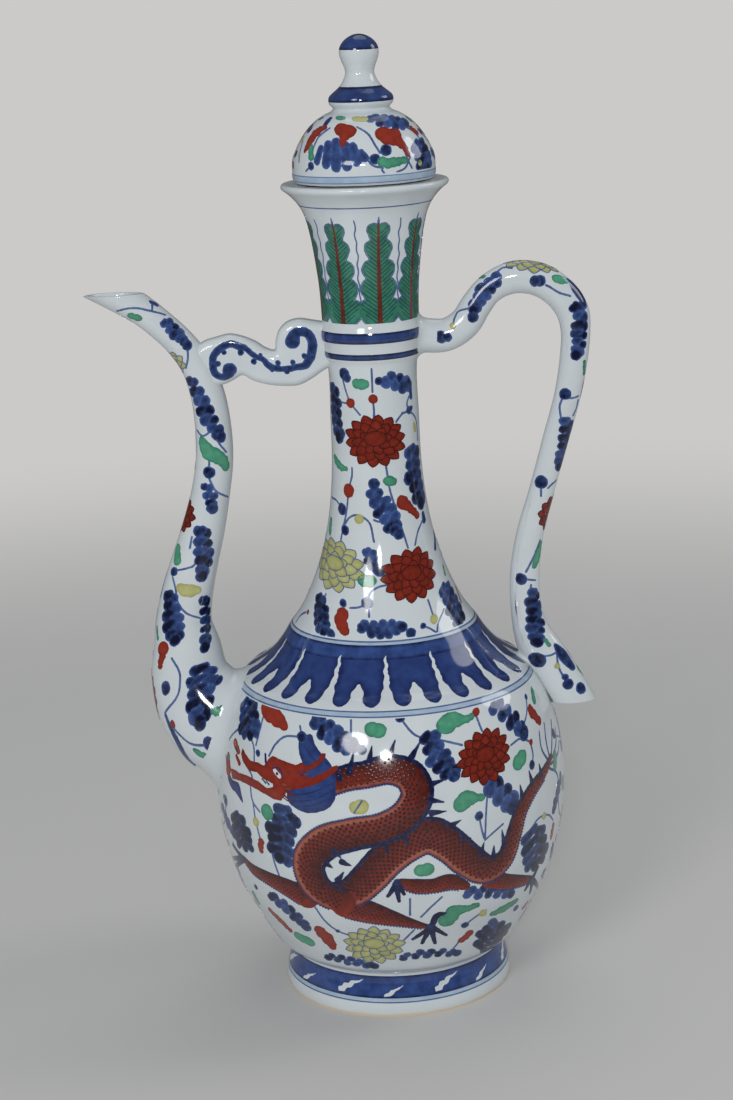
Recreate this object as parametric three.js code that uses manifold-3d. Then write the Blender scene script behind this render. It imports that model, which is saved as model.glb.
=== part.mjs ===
// Glazed porcelain ewer: a turned foot, belly, neck and cup, an S-shaped spout that a
// cloud-shaped bridge ties to the neck, a looped handle and a lift-off domed lid.
// Millimetres, +Z up. The spout points to -X and the handle to +X.
import * as THREE from "three";
import { mergeVertices } from "three/addons/utils/BufferGeometryUtils.js";
import Module from "manifold-3d";

const wasm = await Module();
wasm.setup();

// Heights of the turned sections, from the table upwards
const footHeight = 16.5;
const lowerBellyHeight = 63.5;
const shoulderHeight = 63;
const neckHeight = 101;
const collarHeight = 13.4;
const cupHeight = 50.6;
const domeHeight = 25.5;
const knobRingHeight = 5.8;
const finialHeight = 20.4;

// Radii of the turned sections
const footRadius = 43.4;
const footTopRadius = 40.9;
const bellyRadius = 66.5;
const neckRootRadius = 35.3;
const neckRadius = 16.4;
const collarRadius = 18.6;
const cupFootRadius = 17.7;
const rimRadius = 30.4;
const mouthBoreRadius = 22.3;
const lidRadius = 25.9;
const knobSeatRadius = 10;
const knobRingRadius = 11.7;
const knobNeckRadius = 5.2;
const finialRadius = 7.1;

// Walls and fits
const bodyWall = 3.6;
const floorThickness = 4;
const footWall = 4;
const neckWall = 3.1;
const mouthLipDepth = 8;
const flangeWall = 3;
const flangeDepth = 6;
const lidClearance = 1.2;
const seatGap = 0.3;
const rootGap = 0.35;

// Spout: its reach past the belly, the heights of its root and mouth, its widths and its wall
const spoutOverhang = 25.8;
const spoutRootRise = 22.5;
const spoutMouthRise = 13.1;
const spoutRootWidth = 44;
const spoutMouthWidth = 12.4;
const spoutRootWall = 5.5;
const spoutMouthWall = 2.1;

// Bridge between the spout and the collar
const bridgeHeight = 24.6;
const bridgeThickness = 9;
const bridgeRounding = 1.8;

// Handle: its reach past the belly, the rise of its loop, the drop of its tail and its widths
const handleOverhang = 8.6;
const handleLoopRise = 19.9;
const handleTailDrop = 34.4;
const handleWidth = 12;
const handleTailWidth = 18;

// Sides round the turned and swept pieces, and steps along the swept ones
const bellySides = 48;
const neckSides = 40;
const knobSides = 28;
const spoutSides = 18;
const spoutSteps = 30;
const handleSides = 14;
const handleSteps = 40;
const bridgePoints = 44;
const bridgeRoundingSteps = 2;

// Heights of the seams, each stacked on the section below it
const bellySeamZ = footHeight + lowerBellyHeight;
const neckRootZ = bellySeamZ + shoulderHeight;
const collarZ = neckRootZ + neckHeight;
const cupZ = collarZ + collarHeight;
const rimZ = cupZ + cupHeight;
const lidZ = rimZ + seatGap;
const knobRingZ = lidZ + domeHeight;
const finialZ = knobRingZ + knobRingHeight;
const topZ = finialZ + finialHeight;

// Outlines of the turned sections: [share of the height, share of the change in radius]
const footShares = [[0, 1], [0.1, 1], [0.36, 0.84], [0.62, 0.4], [0.85, 0.06], [1, 0]];
const lowerBellyShares = [
  [0, 0], [0.06, 0.21], [0.15, 0.36], [0.285, 0.54], [0.457, 0.755], [0.66, 0.9], [0.85, 0.98], [1, 1],
];
const shoulderShares = [
  [0, 1], [0.13, 1], [0.26, 0.97], [0.385, 0.915], [0.51, 0.833], [0.605, 0.745], [0.675, 0.656],
  [0.715, 0.57], [0.755, 0.43], [0.825, 0.262], [0.905, 0.125], [1, 0],
];
const neckShares = [
  [0, 1], [0.063, 0.76], [0.136, 0.566], [0.226, 0.378], [0.334, 0.205], [0.46, 0.085],
  [0.604, 0.015], [0.782, 0], [1, 0],
];
const collarShares = [
  [0, 0], [0.1, 0.55], [0.22, 0.62], [0.36, 0.6], [0.48, 0.8], [0.62, 1], [0.8, 0.95], [1, 0.6],
];
const cupShares = [
  [0, 0], [0.14, 0.01], [0.28, 0.05], [0.39, 0.095], [0.516, 0.155], [0.638, 0.235], [0.745, 0.34],
  [0.832, 0.488], [0.905, 0.68], [0.955, 0.86], [0.985, 1], [1, 0.985],
];
const domeShares = [
  [0, 0.93], [0.06, 0.985], [0.18, 1], [0.31, 0.985], [0.42, 0.91], [0.56, 0.81], [0.67, 0.7],
  [0.77, 0.565], [0.865, 0.415], [0.94, 0.22], [1, 0],
];
const domeHollowShares = [[0, 1], [0.45, 1], [0.62, 0.88], [0.75, 0.68], [0.84, 0.4], [0.88, 0]];
const knobRingShares = [[0, 0], [0.12, 0.35], [0.3, 0.85], [0.52, 1], [0.76, 0.85], [1, 0.1]];
const stemShares = [[0, 1], [0.03, 0.84], [0.08, 0.58], [0.167, 0.31], [0.265, 0.08], [0.34, 0]];
const budShares = [[0.436, 0.26], [0.55, 0.68], [0.667, 1]];
const budTipShares = [[0.765, 0.97], [0.868, 0.78], [0.95, 0.45], [1, 0]];

// Centrelines: [share of the reach, share of the height, share of the change in width]
const spoutShares = [
  [0.455, -0.015, 1], [0.585, 0, 1], [0.688, 0.027, 0.97], [0.762, 0.071, 0.78], [0.804, 0.131, 0.56],
  [0.814, 0.193, 0.41], [0.813, 0.259, 0.28], [0.795, 0.318, 0.22], [0.758, 0.393, 0.165],
  [0.715, 0.467, 0.114], [0.676, 0.551, 0.063], [0.652, 0.628, 0.047], [0.65, 0.699, 0.03],
  [0.666, 0.777, 0.006], [0.702, 0.839, -0.02], [0.758, 0.887, -0.038], [0.829, 0.927, -0.044],
  [0.906, 0.964, -0.038], [1, 1, 0], [1.127, 1.048, 0.08],
];
const spoutDepthShare = 0.94;
const spoutRootDepthShare = 0.8;
const handleShares = [
  [0, 0, 0.13], [0.24, 0, 0.13], [0.373, 0, 0.03], [0.461, 0.196, -0.03], [0.515, 0.497, -0.1],
  [0.579, 0.784, -0.17], [0.698, 0.99, -0.03], [0.815, 0.95, 0.03], [0.924, 0.683, 0.02],
  [0.988, 0.317, 0], [1, -0.01, -0.2], [0.991, -0.066, -0.27], [0.953, -0.172, -0.37],
  [0.891, -0.285, -0.4], [0.812, -0.427, -0.43], [0.743, -0.555, -0.3], [0.718, -0.652, -0.13],
  [0.716, -0.723, -0.07], [0.727, -0.772, 0.07], [0.752, -0.821, 0.4], [0.799, -0.87, 0.73],
  [0.859, -0.93, 0.87], [0.927, -0.997, 0.93], [0.985, -1.06, 1],
];
const handleDepthShare = 0.86;

// Bridge outline: [share of the span, share of the height], over the top and back underneath
const bridgeShares = [
  [0, 0.93], [0.287, 0.94], [0.345, 0.967], [0.434, 1], [0.494, 0.96], [0.544, 0.84], [0.566, 0.695],
  [0.575, 0.52], [0.62, 0.549], [0.685, 0.683], [0.761, 0.768], [0.84, 0.813], [0.92, 0.772],
  [1, 0.68], [1.11, 0.48], [1.06, 0.24], [0.887, 0.053], [0.827, 0.122], [0.774, 0.191], [0.718, 0.11],
  [0.63, 0.037], [0.532, 0], [0.442, 0.004], [0.363, 0.093], [0.29, 0.211], [0, 0.3],
];
const bridgeDropShare = 0.666;
// Share of the spout's reach at which the bridge meets the spout
const bridgeSpanShare = 0.672;

// A section's outline in millimetres, from its bottom height, its height and two radii
function outline(shares, bottomZ, height, innerRadius, outerRadius) {
  return shares.map(([rise, swell]) => (
    new THREE.Vector2(THREE.MathUtils.lerp(innerRadius, outerRadius, swell), bottomZ + height * rise)
  ));
}

// The outline moved inward by a wall, while its two ends stay at their heights
function inset(points, wall) {
  return points.map((point, index) => {
    if (index === 0 || index === points.length - 1) {
      return new THREE.Vector2(point.x - wall, point.y);
    }
    const run = points[index + 1].clone().sub(points[index - 1]).normalize();
    return new THREE.Vector2(point.x - run.y * wall, point.y + run.x * wall);
  });
}

// Merges shared corners and drops the empty faces that a point on the axis leaves
function closeMesh(geometry) {
  geometry.deleteAttribute("normal");
  geometry.deleteAttribute("uv");
  const merged = mergeVertices(geometry);
  const corners = merged.index.array;
  const kept = [];
  for (let face = 0; face < corners.length; face += 3) {
    const [a, b, c] = corners.slice(face, face + 3);
    if (a !== b && b !== c && c !== a) {
      kept.push(a, b, c);
    }
  }
  merged.setIndex(kept);
  return merged;
}

// Turns a profile round the upright axis
function turned(profile, sides) {
  const geometry = new THREE.LatheGeometry(profile, sides);
  geometry.rotateX(Math.PI / 2);
  return closeMesh(geometry);
}

// Turns the wall between two lines that both run upwards
function turnedWall(outside, inside, sides) {
  return turned([...outside, ...inside.slice().reverse(), outside[0].clone()], sides);
}

function toSolid(geometry) {
  const vertProperties = new Float32Array(geometry.attributes.position.array);
  const triVerts = new Uint32Array(geometry.index.array);
  return new wasm.Manifold(new wasm.Mesh({ numProp: 3, vertProperties, triVerts }));
}

function fromSolid(solid) {
  const mesh = solid.getMesh();
  const geometry = new THREE.BufferGeometry();
  geometry.setAttribute("position", new THREE.BufferAttribute(mesh.vertProperties, 3));
  geometry.setIndex(new THREE.BufferAttribute(mesh.triVerts, 1));
  return geometry;
}

// A closed tube of oval rings that stand square to a curve in the XZ plane
function sweptTube(stations, steps, sides) {
  const path = new THREE.CatmullRomCurve3(stations.map((station) => station.centre));
  const lastSpan = stations.length - 2;
  const positions = [];
  for (let step = 0; step <= steps; step += 1) {
    const along = step / steps;
    const centre = path.getPoint(along);
    const run = path.getTangent(along);
    const place = along * (stations.length - 1);
    const span = Math.min(Math.floor(place), lastSpan);
    const [before, after] = [stations[span], stations[span + 1]];
    const width = THREE.MathUtils.lerp(before.width, after.width, place - span);
    const depth = THREE.MathUtils.lerp(before.depth, after.depth, place - span);
    for (let side = 0; side < sides; side += 1) {
      const turn = (side / sides) * Math.PI * 2;
      const out = width * Math.cos(turn);
      positions.push(centre.x - run.z * out, depth * Math.sin(turn), centre.z + run.x * out);
    }
  }
  const startCap = positions.length / 3;
  const endCap = startCap + 1;
  const lastRing = steps * sides;
  [path.getPoint(0), path.getPoint(1)].forEach((end) => positions.push(end.x, end.y, end.z));
  const corners = [];
  for (let side = 0; side < sides; side += 1) {
    const next = (side + 1) % sides;
    for (let low = 0; low < lastRing; low += sides) {
      const high = low + sides;
      corners.push(low + side, high + next, low + next, low + side, high + side, high + next);
    }
    corners.push(startCap, side, next, endCap, lastRing + next, lastRing + side);
  }
  const geometry = new THREE.BufferGeometry();
  geometry.setAttribute("position", new THREE.Float32BufferAttribute(positions, 3));
  geometry.setIndex(corners);
  return geometry;
}

// Outer outlines of the turned pieces
const footOutline = outline(footShares, 0, footHeight, footTopRadius, footRadius);
const lowerOutline = outline(lowerBellyShares, footHeight, lowerBellyHeight, footTopRadius, bellyRadius);
const shoulderOutline = outline(shoulderShares, bellySeamZ, shoulderHeight, neckRootRadius, bellyRadius);
const neckOutline = outline(neckShares, neckRootZ, neckHeight, neckRadius, neckRootRadius);
const collarOutline = outline(collarShares, collarZ, collarHeight, neckRadius, collarRadius);
const cupOutline = outline(cupShares, cupZ, cupHeight, cupFootRadius, rimRadius);

// Everything turned as one filled core, grown by a gap, which shapes the roots that lean on it
const core = [footOutline, lowerOutline, shoulderOutline, neckOutline, collarOutline, cupOutline].flat();
const coreOutline = core.filter((point, index) => index === 0 || point.y > core[index - 1].y);
const coreTop = new THREE.Vector2(0, rimZ);
const coreProfile = [new THREE.Vector2(0, 0), ...inset(coreOutline, -rootGap), coreTop];
const coreSolid = toSolid(turned(coreProfile, bellySides));

// Spout stations along its S-curve, grown outward or thinned by a wall
const spoutReach = bellyRadius + spoutOverhang;
const spoutRootZ = bellySeamZ + spoutRootRise;
const spoutMouthZ = cupZ + spoutMouthRise;
function spoutStations(rootGrowth, mouthGrowth) {
  return spoutShares.map(([reach, rise, swell]) => {
    const root = THREE.MathUtils.clamp(swell, 0, 1);
    const half = THREE.MathUtils.lerp(spoutMouthWidth, spoutRootWidth, swell) / 2;
    const growth = THREE.MathUtils.lerp(mouthGrowth, rootGrowth, root);
    const depthShare = THREE.MathUtils.lerp(spoutDepthShare, spoutRootDepthShare, root);
    const z = THREE.MathUtils.lerp(spoutRootZ, spoutMouthZ, rise);
    return {
      centre: new THREE.Vector3(-spoutReach * reach, 0, z),
      width: half + growth,
      depth: half * depthShare + growth,
    };
  });
}

function spoutTube(rootGrowth, mouthGrowth) {
  return toSolid(sweptTube(spoutStations(rootGrowth, mouthGrowth), spoutSteps, spoutSides));
}

// The half-space above or below a height, as a block larger than the ewer
function beyond(height, direction) {
  const size = 2 * topZ;
  const block = new THREE.BoxGeometry(size, size, size);
  block.translate(0, 0, height + (direction * size) / 2);
  return toSolid(closeMesh(block));
}

const spoutBore = spoutTube(-spoutRootWall, -spoutMouthWall);

// The lower belly is a bowl whose flat floor stands on the foot ring
function lowerBelly() {
  const floorZ = footHeight + floorThickness;
  const inside = inset(lowerOutline, bodyWall).filter((point) => point.y > floorZ);
  const floorEdge = new THREE.Vector2(inside[0].x - bodyWall, floorZ);
  const under = new THREE.Vector2(0, footHeight);
  const centre = new THREE.Vector2(0, floorZ);
  return turned([under, ...lowerOutline, ...inside.reverse(), floorEdge, centre], bellySides);
}

// The shoulder is pierced where the spout's bore enters it
function shoulder() {
  const shell = turnedWall(shoulderOutline, inset(shoulderOutline, bodyWall), bellySides);
  return fromSolid(toSolid(shell).subtract(spoutBore));
}

// The collar goes on with the neck's bore
const boreRadius = neckRadius - neckWall;
function collar() {
  const bore = [new THREE.Vector2(boreRadius, collarZ), new THREE.Vector2(boreRadius, cupZ)];
  return turnedWall(collarOutline, bore, neckSides);
}

// The cup opens from the neck's bore to the upright bore that the lid's flange enters
function mouthCup() {
  const lipZ = rimZ - mouthLipDepth;
  const wall = inset(cupOutline, neckWall);
  const inside = wall.filter((point) => point.y > cupZ && point.y < lipZ && point.x < mouthBoreRadius);
  const boreFoot = new THREE.Vector2(boreRadius, cupZ);
  const lip = [new THREE.Vector2(mouthBoreRadius, lipZ), new THREE.Vector2(mouthBoreRadius, rimZ)];
  return turnedWall(cupOutline, [boreFoot, ...inside, ...lip], neckSides);
}

// The spout is trimmed level at its mouth and shaped at its root to the belly
function spout() {
  const tube = spoutTube(0, 0).subtract(spoutBore).subtract(coreSolid);
  return fromSolid(tube.subtract(beyond(spoutMouthZ, 1)));
}

// The bridge runs from the spout to the collar
const armZ = collarZ + collarHeight / 2;
const bridgeSpan = spoutReach * bridgeSpanShare;
function bridge() {
  const bottomZ = armZ - bridgeHeight * bridgeDropShare;
  const points = bridgeShares.map(([run, rise]) => (
    new THREE.Vector2(-bridgeSpan * run, bottomZ + bridgeHeight * rise)
  ));
  const shape = new THREE.Shape(new THREE.SplineCurve(points).getPoints(bridgePoints));
  const depth = bridgeThickness - 2 * bridgeRounding;
  const slab = new THREE.ExtrudeGeometry(shape, {
    depth,
    bevelThickness: bridgeRounding,
    bevelSize: bridgeRounding,
    bevelOffset: -bridgeRounding,
    bevelSegments: bridgeRoundingSteps,
  });
  slab.translate(0, 0, -depth / 2);
  slab.rotateX(Math.PI / 2);
  const held = toSolid(closeMesh(slab)).subtract(coreSolid);
  return fromSolid(held.subtract(spoutTube(rootGap, rootGap)));
}

// The handle leaves the collar level, loops up and over, and ends in a tail on the shoulder
const handleReach = bellyRadius + handleOverhang;
const handleTailZ = neckRootZ - handleTailDrop;
function handle() {
  const drop = armZ - handleTailZ;
  const stations = handleShares.map(([reach, rise, swell]) => {
    const half = THREE.MathUtils.lerp(handleWidth, handleTailWidth, swell) / 2;
    const z = armZ + rise * (rise > 0 ? handleLoopRise : drop);
    const centre = new THREE.Vector3(handleReach * reach, 0, z);
    return { centre, width: half, depth: half * handleDepthShare };
  });
  const bar = toSolid(sweptTube(stations, handleSteps, handleSides));
  return fromSolid(bar.subtract(coreSolid).subtract(beyond(handleTailZ, -1)));
}

// The lid: a hollow dome, and the flange below it that hangs into the mouth
const flangeRadius = mouthBoreRadius - lidClearance;
const flangeBore = flangeRadius - flangeWall;
function lidDome() {
  const outside = outline(domeShares, lidZ, domeHeight, knobSeatRadius, lidRadius);
  const hollow = outline(domeHollowShares, lidZ, domeHeight, 0, flangeBore);
  return turned([...hollow.reverse(), ...outside, new THREE.Vector2(0, knobRingZ)], neckSides);
}

function lidFlange() {
  const foot = lidZ - flangeDepth;
  const outside = [new THREE.Vector2(flangeRadius, foot), new THREE.Vector2(flangeRadius, lidZ)];
  return turnedWall(outside, inset(outside, flangeWall), neckSides);
}

function knobRing() {
  const outside = outline(knobRingShares, knobRingZ, knobRingHeight, knobSeatRadius, knobRingRadius);
  return turned([new THREE.Vector2(0, knobRingZ), ...outside, new THREE.Vector2(0, finialZ)], knobSides);
}

// The finial is a flared stem under a pointed bud
function finial() {
  const stem = outline(stemShares, finialZ, finialHeight, knobNeckRadius, knobSeatRadius);
  const bud = outline(budShares, finialZ, finialHeight, knobNeckRadius, finialRadius);
  const tip = outline(budTipShares, finialZ, finialHeight, 0, finialRadius);
  return turned([new THREE.Vector2(0, finialZ), ...stem, ...bud, ...tip], knobSides);
}

const footShape = turnedWall(footOutline, inset(footOutline, footWall), bellySides);
const neckShape = turnedWall(neckOutline, inset(neckOutline, neckWall), neckSides);

// Colours of the glazed white porcelain, the bare clay of the lid's flange and the painted knob ring
const porcelain = { color: 0xe6e8e3, roughness: 0.16, metalness: 0 };
const bareClay = { color: 0xd8cdbb, roughness: 0.6, metalness: 0 };
const cobalt = { color: 0x27407a, roughness: 0.2, metalness: 0 };

const pieces = [
  ["foot_ring", footShape, porcelain],
  ["lower_body", lowerBelly(), porcelain],
  ["upper_body", shoulder(), porcelain],
  ["neck", neckShape, porcelain],
  ["neck_collar", collar(), porcelain],
  ["mouth_cup", mouthCup(), porcelain],
  ["spout", spout(), porcelain],
  ["spout_bridge", bridge(), porcelain],
  ["handle", handle(), porcelain],
];
const lidPieces = [
  ["lid_dome", lidDome(), porcelain],
  ["lid_flange", lidFlange(), bareClay],
  ["lid_knob_ring", knobRing(), cobalt],
  ["lid_finial", finial(), porcelain],
];

function namedGroup(list) {
  const group = new THREE.Group();
  list.forEach(([name, geometry, look]) => {
    const mesh = new THREE.Mesh(geometry, new THREE.MeshStandardMaterial(look));
    mesh.name = name;
    group.add(mesh);
  });
  return group;
}

// The spout reaches further than the handle, so the neck's axis stands off the middle
const ewer = new THREE.Group();
ewer.add(namedGroup(pieces), namedGroup(lidPieces));
const reach = new THREE.Box3().setFromObject(ewer);
ewer.position.x = -(reach.min.x + reach.max.x) / 2;

export default ewer;
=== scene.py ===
import math
import random

import bpy
import numpy as np
from mathutils import Matrix, Vector
from mathutils.geometry import delaunay_2d_cdt


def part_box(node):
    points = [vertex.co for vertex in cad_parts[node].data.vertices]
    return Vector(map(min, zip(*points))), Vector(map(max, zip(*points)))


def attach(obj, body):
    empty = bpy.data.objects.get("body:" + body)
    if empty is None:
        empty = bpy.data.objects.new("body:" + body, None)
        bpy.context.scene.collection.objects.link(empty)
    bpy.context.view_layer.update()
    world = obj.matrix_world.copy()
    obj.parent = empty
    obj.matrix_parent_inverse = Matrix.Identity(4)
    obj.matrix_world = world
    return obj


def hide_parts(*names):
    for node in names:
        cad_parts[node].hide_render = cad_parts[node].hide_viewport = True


# Covered porcelain ewer painted in cobalt blue, iron red, green and yellow.
# Drawing sizes are millimetres from the turned axis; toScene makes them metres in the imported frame.
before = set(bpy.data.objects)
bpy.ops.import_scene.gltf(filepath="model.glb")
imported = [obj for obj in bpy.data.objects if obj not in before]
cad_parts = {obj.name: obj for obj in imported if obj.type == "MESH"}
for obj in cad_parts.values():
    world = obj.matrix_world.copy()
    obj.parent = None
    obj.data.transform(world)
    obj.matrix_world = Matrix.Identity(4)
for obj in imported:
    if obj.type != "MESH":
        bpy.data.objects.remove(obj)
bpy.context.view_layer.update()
neckLow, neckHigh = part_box("neck")
axisX = (neckLow.x + neckHigh.x) / 2
print("frame loaded, turned axis at", round(axisX, 5))


def toScene(points):
    return np.asarray(points, float) / 1000 + np.array([axisX, 0, 0])


# Camera
photo = {
    "width": 733, "height": 1100,       # pixels
    "focal": 2400.0,                    # pixels
    "back": 874.494, "above": 389.311,  # millimetres from the axis and the table
    "pitch": 14.0616, "roll": -2.5875, "yaw": -0.3458,  # degrees
    "film": 36,                         # millimetres
}


def cameraAxes():
    pitch, roll, yaw = (math.radians(photo[k]) for k in ("pitch", "roll", "yaw"))
    ahead = np.array([math.sin(yaw) * math.cos(pitch), math.cos(yaw) * math.cos(pitch), -math.sin(pitch)])
    level = np.array([math.cos(yaw), -math.sin(yaw), 0])
    up = np.cross(level, ahead)
    side = math.cos(roll) * level + math.sin(roll) * up
    return ahead, side, -math.sin(roll) * level + math.cos(roll) * up


ahead, side, top = cameraAxes()
eye = np.array([0, -photo["back"], photo["above"]])
cameraData = bpy.data.cameras.new("photoCamera")
cameraData.sensor_width = photo["film"]
cameraData.lens = photo["film"] * photo["focal"] / photo["height"]
cameraData.clip_start, cameraData.clip_end = 0.01, 200
camera = bpy.data.objects.new("photoCamera", cameraData)
bpy.context.scene.collection.objects.link(camera)
turn = Matrix([[side[i], top[i], -ahead[i]] for i in range(3)])
camera.matrix_world = Matrix.Translation(Vector(toScene(eye))) @ turn.to_4x4()
bpy.context.scene.camera = camera


def sightLine(pixels):
    # Direction through each pixel, one unit deep along the view
    pixels = np.atleast_2d(np.asarray(pixels, float))
    right = (pixels[:, :1] - photo["width"] / 2) / photo["focal"]
    down = (pixels[:, 1:2] - photo["height"] / 2) / photo["focal"]
    return ahead + right * side - down * top


# Curves
def curveThrough(points, perSpan=8):
    # Smooth curve through uneven points of any number of values
    p = np.asarray(points, float)
    step = np.maximum(np.linalg.norm(np.diff(p[:, :2], axis=0), axis=1), 1e-6)
    slope = np.diff(p, axis=0) / step[:, None]
    tangent = np.empty_like(p)
    tangent[0], tangent[-1] = slope[0], slope[-1]
    before, after = step[:-1, None], step[1:, None]
    tangent[1:-1] = (slope[:-1] * after + slope[1:] * before) / (before + after)
    t = (np.arange(perSpan) / perSpan)[:, None]
    parts = []
    for i, h in enumerate(step):
        parts.append((2 * t**3 - 3 * t**2 + 1) * p[i] + (t**3 - 2 * t**2 + t) * h * tangent[i]
                     + (3 * t**2 - 2 * t**3) * p[i + 1] + (t**3 - t**2) * h * tangent[i + 1])
    return np.vstack(parts + [p[-1:]])


def closedCurve(points, perSpan=4):
    return curveThrough(np.vstack([points, points[:1]]), perSpan)[:-1]


def lengthAlong(points):
    return np.concatenate([[0], np.cumsum(np.linalg.norm(np.diff(points, axis=0), axis=1))])


def readAt(y, length, *columns):
    return [np.interp(y, length, column) for column in columns]


def evenly(points, gap):
    # The same curve with points about gap apart
    s = lengthAlong(points[:, :2])
    wanted = np.linspace(0, s[-1], max(2, int(round(s[-1] / gap)) + 1))
    return np.column_stack(readAt(wanted, s, *points.T))


def runOf(points, *spacing, least=0.0):
    # Unit steps along a line
    run = np.gradient(points, *spacing, axis=0)
    return run / (np.linalg.norm(run, axis=1)[:, None] + least)


def leftOf(run):
    return np.column_stack([-run[:, 1], run[:, 0]])


# Grounds: the surfaces that are painted, unrolled to flat millimetres
class TurnedGround:
    # x runs round the axis from the front towards the handle, y up the outline
    slimmest = 0.45   # the narrowest that a motif is taken to look at the edge of the view
    reference = 40.0  # the radius that turns an angle into x
    sightDepths = np.linspace(740, 980, 1201)[:, None]  # millimetres in front of the camera

    def __init__(self, outline):
        self.outline = evenly(outline, 0.4)
        self.length = lengthAlong(self.outline)
        self.out = -leftOf(runOf(self.outline, self.length))

    def radiusAt(self, z):
        return np.interp(z, self.outline[:, 1], self.outline[:, 0])

    def yAt(self, z):
        return np.interp(z, self.outline[:, 1], self.length)

    def stretch(self, y):
        return self.reference / np.maximum(np.interp(y, self.length, self.outline[:, 0]), 2)

    def spot(self, pixels):
        spots = []
        for line in sightLine(pixels):
            q = eye + self.sightDepths * line
            gap = np.hypot(q[:, 0], q[:, 1]) - self.radiusAt(q[:, 2])
            gap[(q[:, 2] < self.outline[0, 1]) | (q[:, 2] > self.outline[-1, 1])] = 99
            hits = np.nonzero((gap[:-1] > 0) & (gap[1:] <= 0))[0]
            if len(hits):
                i = hits[0]
                share = gap[i] / (gap[i] - gap[i + 1])
                q = q[i] * (1 - share) + q[i + 1] * share
            else:
                q = q[int(np.argmin(gap))]
            spots.append((math.atan2(q[0], -q[1]) * self.reference, float(self.yAt(q[2]))))
        return np.array(spots)

    def place(self, spots, lift):
        angle = spots[:, 0] / self.reference
        r, z, outR, outZ = readAt(spots[:, 1], self.length, *self.outline.T, *self.out.T)
        r = r + lift * outR
        return np.column_stack([r * np.sin(angle), -r * np.cos(angle), z + lift * outZ])

    def facing(self, spots):
        return self.place(spots, 1.0) - self.place(spots, 0.0)

    def scaleAt(self, spots):
        # Millimetres for one pixel of the photograph
        return (self.place(spots, 0) - eye) @ ahead / photo["focal"]


class TubeGround(TurnedGround):
    # x runs round the tube from its outer side towards the front, y along it
    slimmest = 0.8
    slices = np.linspace(-26, 26, 209)  # millimetres in front of and behind the middle plane

    def __init__(self, stations, depthShares):
        dense = evenly(curveThrough(stations, 12), 0.5)
        self.centre, self.width = dense[:, :2], dense[:, 2]
        self.length = lengthAlong(self.centre)
        self.run = runOf(self.centre, self.length)
        self.out = leftOf(self.run)
        self.depth = self.width * np.interp(self.width, *depthShares)
        self.reference = float(np.mean(self.width))

    def stretch(self, y):
        return self.reference / np.interp(y, self.length, (self.width + self.depth) / 2)

    def spot(self, pixels):
        y, spots = self.slices, []
        for line in sightLine(pixels):
            q = eye + ((y - eye[1]) / line[1])[:, None] * line
            offset = q[:, None, [0, 2]] - self.centre[None]
            near = np.argmin((offset**2).sum(2), axis=1)
            offset = offset[np.arange(len(y)), near]
            across, along = ((offset * part[near]).sum(1) for part in (self.out, self.run))
            gap = (across / self.width[near]) ** 2 + (y / self.depth[near]) ** 2 - 1
            inside = np.nonzero(gap < 0)[0]
            i = inside[0] if len(inside) else int(np.argmin(gap))
            angle = math.atan2(-y[i] / self.depth[near[i]], across[i] / self.width[near[i]])
            spots.append((angle * self.reference, self.length[near[i]] + along[i]))
        return np.array(spots)

    def place(self, spots, lift, growth=0.0):
        angle = spots[:, 0] / self.reference
        cx, cz, ox, oz, w, d = readAt(spots[:, 1], self.length, *self.centre.T, *self.out.T,
                                      self.width, self.depth)
        norm = np.hypot(ox, oz)
        ox, oz, w, d = ox / norm, oz / norm, w + growth, d + growth
        outN, outY = np.cos(angle) / w, np.sin(angle) / d
        size = np.hypot(outN, outY)
        across = w * np.cos(angle) + lift * outN / size
        return np.column_stack([cx + ox * across, -d * np.sin(angle) - lift * outY / size, cz + oz * across])


# Outlines of the turned pieces, radius and height
ewerSizes = {
    "foot": [(43.1, 0), (43.5, 1.6), (43, 5.9), (42.1, 9.8), (41.2, 13.6), (41, 16.2)],
    "belly": [(41.4, 17), (46.3, 20.3), (50.1, 26), (54.7, 34.6), (60.2, 45.5), (63.9, 58.4), (66, 70.5),
        (66.6, 80), (66.4, 88.2), (65.5, 96.4), (63.8, 104.3), (61.3, 112.1), (58.6, 118.1), (55.9, 122.4),
        (52.6, 125.7), (48.4, 128.2), (43.5, 132), (39.2, 137), (35.3, 143), (30.8, 149.4), (27.1, 156.7),
        (23.5, 165.8), (20.3, 176.7), (18, 189.5), (16.7, 204), (16.4, 222), (16.4, 241), (16.6, 243.2)],
    "collar": [(17.5, 244.6), (17.8, 246.6), (17.8, 248.6), (18.2, 250.3), (18.7, 252.4), (18.5, 254.8),
        (17.8, 257)],
    "cup": [(17.75, 258.6), (17.9, 264.5), (18.3, 271.6), (18.9, 277.1), (19.7, 283.5), (20.7, 289.7),
        (22, 295.1), (23.9, 299.5), (26.2, 302.6), (28.4, 304.7), (30, 305.9)],
    "wall": 3.6, "neckWall": 3.1, "floor": 20.5, "bore": 22.3,
    "rim": [(30, 305.9), (30.45, 306.6), (30.4, 307.4), (29.9, 307.9), (29, 308), (27, 307.95), (24, 307.9),
        (22.7, 307.6), (22.3, 306.8), (22.3, 301.5)],
    "under": [(0, 16.5), (34, 16.5), (37.2, 15.6), (38.6, 13), (39.3, 6), (39.6, 0.9), (40.2, 0.15), (41, 0.0),
        (42.4, 0.0)],
    "floorRound": [(3.5, 0.6), (8, 0)], "innerTop": 300, "neckThinning": (143, 160), "collarZ": 244,
    "neckBore": 13.3, "cupZ": 250, "sides": 192,
}
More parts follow.
